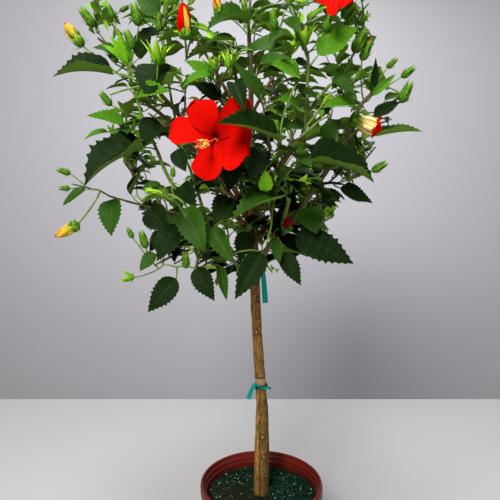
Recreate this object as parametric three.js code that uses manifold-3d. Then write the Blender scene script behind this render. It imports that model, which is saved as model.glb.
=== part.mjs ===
// Hibiscus shrub grown as a standard: one clear stem with an open rounded head,
// standing in a round plastic nursery pot. Millimetres, +Z up.
// Origin: centre of the pot's flat underside. -Y is the front of the plant.
import * as THREE from 'three';
import { mergeVertices } from 'three/addons/utils/BufferGeometryUtils.js';
import Module from 'manifold-3d';

const wasm = await Module();
wasm.setup();

// ---------------------------------------------------------------- sizes
const GAP = 0.4;                 // clearance between neighbouring solids
const POT = {
  height: 170, baseR: 72, wallTopR: 95, wallTopZ: 150,   // outer wall
  lipR: 101.5, lipDrop: 18, wall: 2.2, floor: 3, segments: 34,
};
const SOIL = { topZ: 146, heave: 3.2, collarR: 19 };     // potting mix
const STEM = {
  z0: SOIL.topZ + GAP, z1: 642, sides: 12, steps: 20,
  // radius at share of the height: flare, foot, waist, clear stem, tip
  radii: [[0, 14.2], [0.03, 12.9], [0.14, 12.5], [0.25, 10.9], [0.36, 8.7], [0.7, 8.0], [1, 6.4]],
  lean: -14, bow: 3.2, leanFrom: 0.30,
};
const KNOTS = [ // height, azimuth in degrees, swell: old leaf scars on the stem
  [182, -60, 1.5], [216, -75, 1.4], [248, -90, 1.6], [306, -50, 1.7],
  [424, -95, 1.4], [462, -150, 1.5], [476, -60, 1.5],
];
const TIES = { low: 326, high: 524, band: 8, thick: 1.1, tailW: 8 };

// Foliage masses: [name, azimuth deg, reach from the head's axis, height, size].
const AXIS_X = -12;
const MASSES = [
  // skirt, hanging leaves
  ['skirt_left', -162, 165, 548, 58], ['skirt_front_left', -122, 140, 556, 50],
  ['skirt_front', -86, 118, 552, 50], ['skirt_right', -31, 128, 580, 58],
  ['skirt_back_right', 38, 150, 592, 60], ['skirt_back', 88, 150, 574, 58],
  ['skirt_back_left', 141, 158, 578, 60], ['low_left_tip', -177, 256, 628, 44],
  // middle tier
  ['middle_front_left', -116, 206, 640, 54], ['middle_front', -86, 178, 642, 52],
  ['middle_right_front', -32, 158, 664, 60], ['middle_left', -164, 204, 704, 58],
  ['bloom_front', -103, 235, 722, 52], ['front_right', -72, 196, 722, 60],
  ['middle_right', 16, 202, 690, 60], ['middle_back_right', 66, 206, 678, 62],
  ['middle_back_left', 112, 214, 686, 62], ['middle_left_back', 158, 214, 684, 60],
  // upper tier
  ['left_tip', 174, 276, 840, 46], ['upper_left', -165, 232, 872, 52],
  ['front_left', -133, 208, 766, 54], ['upper_front_left', -130, 184, 858, 56],
  ['upper_front', -101, 168, 828, 58], ['upper_front_right', -68, 158, 834, 58],
  ['upper_right', -34, 158, 872, 58], ['right_tip', -3, 226, 800, 50],
  ['upper_back_right', 34, 196, 826, 64], ['upper_back', 74, 202, 812, 64],
  ['upper_back_left', 112, 206, 820, 64], ['upper_left_back', 150, 220, 800, 62],
  // top
  ['top_front', -92, 66, 934, 64], ['top_right', 6, 104, 938, 64],
  ['top_left', -172, 122, 934, 66], ['top_back', 96, 100, 936, 66],
];
const LEAF_LUMP = 0.17;          // how uneven a mass is, as a share of its size

// Boughs: [name, parent, height on the stem or share along the parent,
//          mass it enters, radius at the start, radius at the end, rise]
const BOUGHS = [
  ['bough_front_left', 'trunk', 588, 'front_left', 4.6, 2.6, 0.30],
  ['bough_left', 'trunk', 606, 'upper_left', 5.4, 2.6, 0.34],
  ['bough_left_low', 'bough_left', 0.30, 'low_left_tip', 3.2, 1.9, 0.16],
  ['bough_left_back', 'trunk', 572, 'upper_left_back', 4.8, 2.5, 0.30],
  ['bough_back', 'trunk', 600, 'upper_back_left', 5.0, 2.6, 0.34],
  ['bough_back_low', 'bough_back', 0.34, 'middle_back_right', 3.3, 2.2, 0.2],
  ['bough_right_back', 'trunk', 616, 'upper_back_right', 5.0, 2.6, 0.34],
  ['bough_right', 'trunk', 566, 'right_tip', 4.8, 2.5, 0.26],
  ['bough_right_low', 'bough_right', 0.34, 'middle_right_front', 3.2, 2.2, 0.2],
  ['bough_front_right', 'trunk', 596, 'front_right', 4.4, 2.4, 0.32],
  ['bough_front', 'trunk', 624, 'upper_front', 4.6, 2.4, 0.40],
  ['bough_skirt_left', 'trunk', 540, 'skirt_left', 3.4, 2.0, 0.42],
  ['bough_top', 'tip', 0, 'top_back', 5.6, 2.6, 0.25],
  ['bough_top_left', 'bough_top', 0.35, 'top_left', 3.6, 2.4, 0.2],
  ['bough_top_right', 'bough_top', 0.5, 'top_right', 3.4, 2.4, 0.2],
];

// ------------------------------------------------------------- materials
const mat = (color, roughness) => new THREE.MeshStandardMaterial({ color, roughness, metalness: 0 });
const POT_PLASTIC = mat(0x94402f, 0.42);
const MIX = mat(0x1c3a2c, 0.95);
const BARK = mat(0x86683c, 0.85);
const GREEN_WOOD = mat(0x6a6a38, 0.7);
const TIE_TAPE = mat(0x12958a, 0.5);
const LEAF = [mat(0x2c5f20, 0.5), mat(0x3b7a28, 0.5), mat(0x245019, 0.5), mat(0x4a8c30, 0.5)];

// --------------------------------------------------------------- helpers
const rad = THREE.MathUtils.degToRad;
const lerp = THREE.MathUtils.lerp;

// vertices shared, needle-thin triangles dropped, faces turned outwards
function closed(geometry) {
  let g = geometry.clone();
  g.deleteAttribute('normal');
  g.deleteAttribute('uv');
  g = mergeVertices(g, 1e-4);
  const ids = Array.from(g.index.array), keep = [];
  for (let i = 0; i < ids.length; i += 3) {
    const [a, b, c] = ids.slice(i, i + 3);
    if (a !== b && b !== c && a !== c) keep.push(a, b, c);
  }
  const p = g.attributes.position, A = new THREE.Vector3(), B = new THREE.Vector3(), C = new THREE.Vector3();
  let vol = 0;
  for (let i = 0; i < keep.length; i += 3) {
    A.fromBufferAttribute(p, keep[i]); B.fromBufferAttribute(p, keep[i + 1]); C.fromBufferAttribute(p, keep[i + 2]);
    vol += A.dot(B.cross(C));
  }
  if (vol < 0) for (let i = 0; i < keep.length; i += 3) [keep[i + 1], keep[i + 2]] = [keep[i + 2], keep[i + 1]];
  g.setIndex(keep);
  return g;
}
function solid(geometry) {
  const g = closed(geometry);
  return new wasm.Manifold(new wasm.Mesh({
    numProp: 3, vertProperties: new Float32Array(g.attributes.position.array),
    triVerts: new Uint32Array(g.index.array),
  }));
}
function biggest(m) {
  const parts = m.decompose();
  return parts.reduce((a, b) => (b.volume() > a.volume() ? b : a), parts[0]);
}
function geometryOf(m) {
  const mesh = m.getMesh(), g = new THREE.BufferGeometry();
  g.setAttribute('position', new THREE.BufferAttribute(new Float32Array(mesh.vertProperties), 3));
  g.setIndex(Array.from(mesh.triVerts));
  return g;
}

// a tapering limb: a cylinder bent along a curve, radius from a function of the share along it
function limb(curve, radiusAt, sides, steps) {
  const g = new THREE.CylinderGeometry(1, 1, 1, sides, steps);
  const f = curve.computeFrenetFrames(steps, false), p = g.attributes.position, v = new THREE.Vector3();
  for (let i = 0; i < p.count; i++) {
    v.fromBufferAttribute(p, i);
    const k = Math.round((v.y + 0.5) * steps), t = k / steps, c = curve.getPointAt(t);
    const flat = Math.hypot(v.x, v.z), r = flat < 0.5 ? 0 : radiusAt(t, Math.atan2(v.z, v.x), c);
    c.addScaledVector(f.normals[k], v.x * r / (flat || 1)).addScaledVector(f.binormals[k], -v.z * r / (flat || 1));
    p.setXYZ(i, c.x, c.y, c.z);
  }
  return g;
}
// the profile is turned about +Z
const turned = (profile, segments) =>
  new THREE.LatheGeometry(profile.map(([r, z]) => new THREE.Vector2(r, z)), segments).rotateX(Math.PI / 2);

// ------------------------------------------------------------------- pot
function potGeometry() {
  const { height: H, baseR, wallTopR, wallTopZ, lipR, lipDrop, wall, floor, segments } = POT;
  const outer = z => lerp(baseR, wallTopR, z / wallTopZ);
  const inner = z => outer(z) - wall;
  return turned([
    [0, 0], [baseR - 1.5, 0], [outer(2), 2], [wallTopR, wallTopZ],
    [lipR - 1, wallTopZ + 1.5], [lipR, H - lipDrop + 3], [lipR, H - 4], [lipR - 2.2, H],
    [lipR - 4.6, H - 1], [lipR - 5.4, H - 6], [lipR - 7.6, H - 7.6],
    [inner(wallTopZ + 2), wallTopZ + 2],
    [inner(floor + 4), floor + 4], [inner(floor) - 3, floor], [0, floor],
  ], segments);
}
// potting mix: fills the pot, with a heaved top that is level round the stem
function soilGeometry() {
  const { baseR, wallTopR, wallTopZ, wall, floor, segments } = POT;
  const inner = z => lerp(baseR, wallTopR, z / wallTopZ) - wall - GAP * 1.5;
  const z = SOIL.topZ, rim = z - 1.5;
  const g = turned([
    [0, floor + GAP], [inner(floor + 5) - 4, floor + GAP], [inner(floor + 5), floor + 5],
    [inner(rim) - 0.5, rim], [inner(rim) * 0.88, z - 0.5], [inner(rim) * 0.7, z], [inner(rim) * 0.5, z],
    [SOIL.collarR, z], [0, z],
  ], segments);
  const p = g.attributes.position;
  for (let i = 0; i < p.count; i++) {
    const x = p.getX(i), y = p.getY(i), r = Math.hypot(x, y);
    if (p.getZ(i) < z - 2 || r < SOIL.collarR + 1) continue;
    const lump = Math.sin(x * 0.07 + 1.3) * Math.cos(y * 0.083 - 0.6) + 0.5 * Math.sin(x * 0.19 - y * 0.15);
    p.setZ(i, p.getZ(i) + SOIL.heave * (0.55 * lump - 0.45));
  }
  return g;
}

// ----------------------------------------------------------------- trunk
function stemX(t) {              // straight foot, then a slow lean to -X
  const k = Math.max(0, (t - STEM.leanFrom) / (1 - STEM.leanFrom));
  return STEM.bow * Math.sin(Math.PI * Math.min(1, t / 0.55)) * 0.35 + STEM.lean * (1 - (1 - k) ** 1.7);
}
const stemPoint = t => new THREE.Vector3(stemX(t), 1.5 * Math.sin(t * 5.2), lerp(STEM.z0, STEM.z1, t));
const stemCurve = new THREE.CatmullRomCurve3(Array.from({ length: 15 }, (_, i) => stemPoint(i / 14)));
function stemRadius(t) {
  const r = STEM.radii;
  for (let i = 1; i < r.length; i++) if (t <= r[i][0]) {
    const k = (t - r[i - 1][0]) / (r[i][0] - r[i - 1][0]);
    return lerp(r[i - 1][1], r[i][1], k * k * (3 - 2 * k));
  }
  return r[r.length - 1][1];
}
const swell = (angle, c) => KNOTS.reduce((s, [z, az, h]) =>
  s + h * Math.exp(-(((c.z - z) / 7) ** 2)) * Math.max(0, Math.cos(angle - rad(az))) ** 3, 0);
function trunkGeometry(extra = 0) {
  const g = new THREE.CylinderGeometry(1, 1, 1, STEM.sides, STEM.steps);
  const p = g.attributes.position, v = new THREE.Vector3();
  for (let i = 0; i < p.count; i++) {
    v.fromBufferAttribute(p, i);
    const t = v.y + 0.5, flat = Math.hypot(v.x, v.z), a = Math.atan2(-v.z, v.x), c = stemPoint(t);
    const r = flat < 0.5 ? 0 : stemRadius(t) + (extra ? extra + 1.6 : swell(a, c) + 0.35 * Math.sin(3 * a + 4 * t));
    p.setXYZ(i, c.x + Math.cos(a) * r, c.y + Math.sin(a) * r, c.z);
  }
  return g;
}

// ------------------------------------------------------------------ ties
// plastic tape: a band round the stem with a loose flat tail
function tape(z, tailCurve, endCurve) {
  const t = (z - STEM.z0) / (STEM.z1 - STEM.z0), c = stemPoint(t), r = stemRadius(t) + 2.4;
  const band = turned([[r, -TIES.band / 2], [r + TIES.thick, -TIES.band / 2 + 0.6],
    [r + TIES.thick, TIES.band / 2 - 0.6], [r, TIES.band / 2], [r, -TIES.band / 2]], 14).translate(c.x, c.y, z);
  const strip = (pts, w) => {
    const path = new THREE.CatmullRomCurve3(pts.map(([x, y, h]) => new THREE.Vector3(c.x + x, c.y + y, z + h)));
    const s = new THREE.Shape();
    s.moveTo(-w / 2, -0.45); s.lineTo(w / 2, -0.45); s.lineTo(w / 2, 0.45); s.lineTo(-w / 2, 0.45); s.closePath();
    return new THREE.ExtrudeGeometry(s, { steps: 6, bevelEnabled: false, extrudePath: path });
  };
  let m = solid(band);
  for (const [pts, w] of [tailCurve, endCurve].filter(Boolean)) m = m.add(solid(strip(pts, w)));
  return geometryOf(m);
}

// --------------------------------------------------------- foliage masses
const centre = ([, az, reach, z]) =>
  new THREE.Vector3(AXIS_X + Math.cos(rad(az)) * reach, Math.sin(rad(az)) * reach, z);
const masses = MASSES.map((m, i) => ({ name: 'foliage_' + m[0], c: centre(m), size: m[4], i }));

function massGeometry(m) {
  const g = new THREE.IcosahedronGeometry(1, 2), p = g.attributes.position, v = new THREE.Vector3();
  const out = new THREE.Vector3(m.c.x - AXIS_X, m.c.y, (m.c.z - 700) * 0.8).normalize();
  const droop = m.c.z < 600 ? 1.16 : 0.94;
  for (let n = 0; n < p.count; n++) {
    v.fromBufferAttribute(p, n).normalize();
    const k = m.i * 1.7;
    const lump = Math.sin(4.1 * v.x + k) * Math.cos(3.7 * v.y - 1.3 * k) + Math.sin(5.3 * v.z + 2.1 * k + 2 * v.x)
      + 0.6 * Math.cos(8 * v.x * v.y + 3 * k) * Math.sin(7 * v.z - k);
    let r = m.size * (1 + LEAF_LUMP * lump) * (1 + 0.14 * Math.max(0, v.dot(out)));
    const d = v.clone();
    d.z *= droop;
    // each mass keeps to its own side of the plane between it and a neighbour
    for (const o of masses) {
      if (o === m) continue;
      const n2 = o.c.clone().sub(m.c), dist = n2.length();
      if (dist > 260) continue;
      n2.divideScalar(dist);
      const limit = dist * m.size / (m.size + o.size) - 0.8, along = d.dot(n2);
      if (along > 1e-6) r = Math.min(r, limit / along);
    }
    v.copy(d).multiplyScalar(r).add(m.c);
    p.setXYZ(n, v.x, v.y, v.z);
  }
  return g;
}

// ---------------------------------------------------------------- boughs
const limbs = new Map();
function boughCurve([name, parent, where, target, r0, r1, rise]) {
  let from, r;
  if (parent === 'trunk') from = stemPoint((where - STEM.z0) / (STEM.z1 - STEM.z0));
  else if (parent === 'tip') { from = stemPoint(1); from.z -= 4; }
  else from = limbs.get(parent).curve.getPointAt(where);
  const m = masses.find(o => o.name === 'foliage_' + target);
  const to = from.clone().lerp(m.c, 1 - 0.45 * m.size / from.distanceTo(m.c));
  const mid = from.clone().lerp(to, 0.5);
  mid.z += from.distanceTo(to) * rise * 0.5;
  mid.x += (mid.x - AXIS_X) * 0.12; mid.y += mid.y * 0.12;
  return new THREE.QuadraticBezierCurve3(from, mid, to);
}
const boughGeometry = (b, extra = 0) => limb(limbs.get(b[0]).curve, t => lerp(b[4], b[5], t) + extra, 6, 6);

// -------------------------------------------------------------- assembly
const plant = new THREE.Group();
plant.name = 'hibiscus_standard_in_pot';
function add(name, geometry, material) {
  const mesh = new THREE.Mesh(geometry, material);
  mesh.name = name;
  plant.add(mesh);
}
add('pot', closed(potGeometry()), POT_PLASTIC);
add('potting_mix', closed(soilGeometry()), MIX);
add('trunk', closed(trunkGeometry()), BARK);
add('tie_low', tape(TIES.low,
  [[[-6, -11.2, 2], [-10, -13, -1], [-16, -14.5, -9], [-21, -15, -19]], TIES.tailW],
  [[[5, -11.2, 0], [10, -12.5, 1], [15, -12, -1]], 6]), TIE_TAPE);
add('tie_high', tape(TIES.high,
  [[[5, -9.6, 1], [11, -12, -8], [14, -12.5, -26], [18, -12, -56]], TIES.tailW]), TIE_TAPE);

for (const b of BOUGHS) limbs.set(b[0], { curve: boughCurve(b) });
const trunkRoom = solid(trunkGeometry(GAP));
const boughRoom = new Map(BOUGHS.map(b => [b[0], solid(boughGeometry(b, GAP + 0.3))]));
const massSolid = masses.map(m => solid(massGeometry(m)).subtract(trunkRoom));
// a mass with a little room round it, so that a bough stops just short of it
const massRoom = masses.map(m => {
  const k = 1 + 2 * GAP / m.size, g = massGeometry(m);
  return solid(g.translate(-m.c.x, -m.c.y, -m.c.z).scale(k, k, k).translate(m.c.x, m.c.y, m.c.z));
});
BOUGHS.forEach((b, i) => {
  let s = solid(boughGeometry(b)).subtract(trunkRoom);
  for (const other of BOUGHS.slice(0, i)) s = s.subtract(boughRoom.get(other[0]));
  for (const room of massRoom) s = s.subtract(room);
  add(b[0], geometryOf(biggest(s)), i % 3 ? BARK : GREEN_WOOD);
});
masses.forEach((m, i) => add(m.name, geometryOf(biggest(massSolid[i])), LEAF[i % 4]));

export default plant;
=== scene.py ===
"""Hibiscus grown as a standard, in its nursery pot: the looks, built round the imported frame."""
import math

import bpy
import numpy as np
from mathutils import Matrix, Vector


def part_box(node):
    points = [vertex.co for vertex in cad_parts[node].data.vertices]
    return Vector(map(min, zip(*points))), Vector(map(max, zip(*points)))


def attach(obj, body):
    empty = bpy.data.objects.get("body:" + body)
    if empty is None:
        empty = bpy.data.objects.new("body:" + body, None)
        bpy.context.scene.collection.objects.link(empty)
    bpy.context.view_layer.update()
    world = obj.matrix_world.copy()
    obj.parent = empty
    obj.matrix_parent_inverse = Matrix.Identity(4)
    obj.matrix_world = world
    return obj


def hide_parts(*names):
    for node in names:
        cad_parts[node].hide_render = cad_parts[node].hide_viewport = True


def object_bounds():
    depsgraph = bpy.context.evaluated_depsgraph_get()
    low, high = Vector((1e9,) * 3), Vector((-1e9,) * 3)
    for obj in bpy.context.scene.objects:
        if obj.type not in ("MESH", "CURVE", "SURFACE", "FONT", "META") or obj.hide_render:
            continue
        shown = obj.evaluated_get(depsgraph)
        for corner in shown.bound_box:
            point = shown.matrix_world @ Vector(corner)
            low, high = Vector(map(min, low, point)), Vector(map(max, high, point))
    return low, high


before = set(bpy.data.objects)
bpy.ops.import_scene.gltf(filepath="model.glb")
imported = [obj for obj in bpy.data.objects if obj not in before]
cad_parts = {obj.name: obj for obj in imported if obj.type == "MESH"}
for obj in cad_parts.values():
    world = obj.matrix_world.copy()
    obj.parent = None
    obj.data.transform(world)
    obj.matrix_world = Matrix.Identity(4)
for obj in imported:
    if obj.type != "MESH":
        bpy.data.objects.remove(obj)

CAD_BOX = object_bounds()
rng = np.random.default_rng(60411)
UP = np.array((0.0, 0.0, 1.0))
FRONT = np.array((0.0, -1.0, 0.0))

# ------------------------------------------------------------------ camera
CAM = np.array((-0.019, -0.80, 0.627))
PITCH = math.radians(5.1)
cam_data = bpy.data.cameras.new("camera")
cam_data.sensor_width = 36
cam_data.lens = 36
cam = bpy.data.objects.new("camera", cam_data)
cam.location = CAM
cam.rotation_euler = (math.pi / 2 - PITCH, 0, 0)
bpy.context.scene.collection.objects.link(cam)
bpy.context.scene.camera = cam
bpy.context.scene.view_settings.view_transform = "Standard"

# ------------------------------------------------- sizes shared with the CAD
POT = dict(height=.170, base_r=.072, wall_r=.095, wall_z=.150, lip_r=.1015, wall=.0022, floor=.003)
SOIL_Z = .146
STEM_Z0, STEM_Z1 = .1464, .642
STEM_R = [(0, .0142), (.03, .0129), (.14, .0125), (.25, .0109), (.36, .0087), (.7, .0080), (1, .0064)]
KNOTS = [(.182, -60, 1.5), (.216, -75, 1.4), (.248, -90, 1.6), (.306, -50, 1.7),
         (.424, -95, 1.4), (.462, -150, 1.5), (.476, -60, 1.5)]
AXIS_X = -.012
BOUGHS = [
    ("bough_front_left", "trunk", .588, "front_left", 4.6, 2.6, .30),
    ("bough_left", "trunk", .606, "upper_left", 5.4, 2.6, .34),
    ("bough_left_low", "bough_left", .30, "low_left_tip", 3.2, 1.9, .16),
    ("bough_left_back", "trunk", .572, "upper_left_back", 4.8, 2.5, .30),
    ("bough_back", "trunk", .600, "upper_back_left", 5.0, 2.6, .34),
    ("bough_back_low", "bough_back", .34, "middle_back_right", 3.3, 2.2, .2),
    ("bough_right_back", "trunk", .616, "upper_back_right", 5.0, 2.6, .34),
    ("bough_right", "trunk", .566, "right_tip", 4.8, 2.5, .26),
    ("bough_right_low", "bough_right", .34, "middle_right_front", 3.2, 2.2, .2),
    ("bough_front_right", "trunk", .596, "front_right", 4.4, 2.4, .32),
    ("bough_front", "trunk", .624, "upper_front", 4.6, 2.4, .40),
    ("bough_skirt_left", "trunk", .540, "skirt_left", 3.4, 2.0, .42),
    ("bough_top", "tip", 0, "top_back", 5.6, 2.6, .25),
    ("bough_top_left", "bough_top", .35, "top_left", 3.6, 2.4, .2),
    ("bough_top_right", "bough_top", .5, "top_right", 3.4, 2.4, .2),
]
FOLIAGE = sorted(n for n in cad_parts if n.startswith("foliage_"))

MASSES = [  # foliage mass, azimuth, reach, height, size (mm)
    ('skirt_left', -162, 165, 548, 58),
    ('skirt_front_left', -122, 140, 556, 50),
    ('skirt_front', -86, 118, 552, 50),
    ('skirt_right', -31, 128, 580, 58),
    ('skirt_back_right', 38, 150, 592, 60),
    ('skirt_back', 88, 150, 574, 58),
    ('skirt_back_left', 141, 158, 578, 60),
    ('low_left_tip', -177, 256, 628, 44),
    ('middle_front_left', -116, 206, 640, 54),
    ('middle_front', -86, 178, 642, 52),
    ('middle_right_front', -32, 158, 664, 60),
    ('middle_left', -164, 204, 704, 58),
    ('bloom_front', -103, 235, 722, 52),
    ('front_right', -72, 196, 722, 60),
    ('middle_right', 16, 202, 690, 60),
    ('middle_back_right', 66, 206, 678, 62),
    ('middle_back_left', 112, 214, 686, 62),
    ('middle_left_back', 158, 214, 684, 60),
    ('left_tip', 174, 276, 840, 46),
    ('upper_left', -165, 232, 872, 52),
    ('front_left', -133, 208, 766, 54),
    ('upper_front_left', -130, 184, 858, 56),
    ('upper_front', -101, 168, 828, 58),
    ('upper_front_right', -68, 158, 834, 58),
    ('upper_right', -34, 158, 872, 58),
    ('right_tip', -3, 226, 800, 50),
    ('upper_back_right', 34, 196, 826, 64),
    ('upper_back', 74, 202, 812, 64),
    ('upper_back_left', 112, 206, 820, 64),
    ('upper_left_back', 150, 220, 800, 62),
    ('top_front', -92, 66, 934, 64),
    ('top_right', 6, 104, 938, 64),
    ('top_left', -172, 122, 934, 66),
    ('top_back', 96, 100, 936, 66),
]

# --------------------------- what shows from the front, each in its own place
STEMS = [  # name, radius at the start and the end, tone, way (mm)
    ('left_limb', 3.6, 1.5, 'g', [(-13, 0, 575), (-47, -30, 595), (-86, -50, 611), (-129, -70, 655), (-152, -90, 710), (-167, -100, 749), (-181, -110, 805), (-191, -110, 821)]),
    ('left_low', 1.9, 1.0, 'g', [(-86, -50, 611), (-123, -55, 614), (-168, -60, 625), (-216, -70, 639), (-239, -75, 649), (-252, -80, 652)]),
    ('right_limb', 5.0, 2.6, 'b', [(-8, 0, 520), (5, -10, 553), (26, -30, 582), (56, -50, 620), (66, -60, 639), (86, -65, 668), (98, -70, 688), (115, -60, 712), (127, -55, 740), (144, -45, 773), (162, -40, 793)]),
    ('right_stem', 3.4, 1.8, 'g', [(26, -30, 582), (36, -70, 628), (42, -100, 666), (48, -110, 691), (53, -120, 740), (57, -120, 773), (58, -125, 819), (51, -130, 833)]),
    ('bottom_twig', 2.2, 1.0, 'g', [(-11, 0, 543), (-42, -40, 553), (-74, -80, 547), (-91, -100, 540), (-122, -110, 543), (-140, -110, 544)]),
    ('centre_stem', 3.6, 1.5, 'b', [(-11, 0, 612), (-14, -40, 680), (-16, -80, 747), (-18, -120, 811), (-20, -130, 868), (-19, -130, 903)]),
    ('centre_fork', 2.0, 1.1, 'g', [(-16, -120, 803), (0, -140, 825), (17, -155, 847), (23, -160, 862)]),
    ('arch', 1.0, 0.7, 'g', [(-18, -130, 868), (-4, -140, 877), (14, -145, 880), (31, -150, 878), (46, -150, 877), (60, -140, 889)]),
    ('centre_left', 2.4, 1.1, 'b', [(-16, -50, 709), (-39, -90, 743), (-59, -120, 767), (-61, -150, 788), (-54, -160, 805)]),
    ('top_left_stem', 2.4, 1.1, 'g', [(-86, -50, 611), (-106, -70, 678), (-121, -100, 744), (-130, -120, 805), (-132, -130, 853), (-129, -130, 884)]),
    ('top_right_fork', 2.0, 1.1, 'g', [(53, -120, 740), (72, -115, 770), (93, -110, 792), (112, -100, 811), (123, -95, 832)]),
    ('front_stem', 2.6, 1.2, 'b', [(-14, -20, 651), (-2, -80, 677), (7, -130, 700), (-1, -160, 734), (-4, -170, 755), (-9, -175, 774)]),
    ('front_right_stem', 2.2, 1.0, 'g', [(36, -70, 628), (27, -120, 674), (19, -170, 705), (24, -180, 742), (37, -180, 773)]),
]
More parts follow.
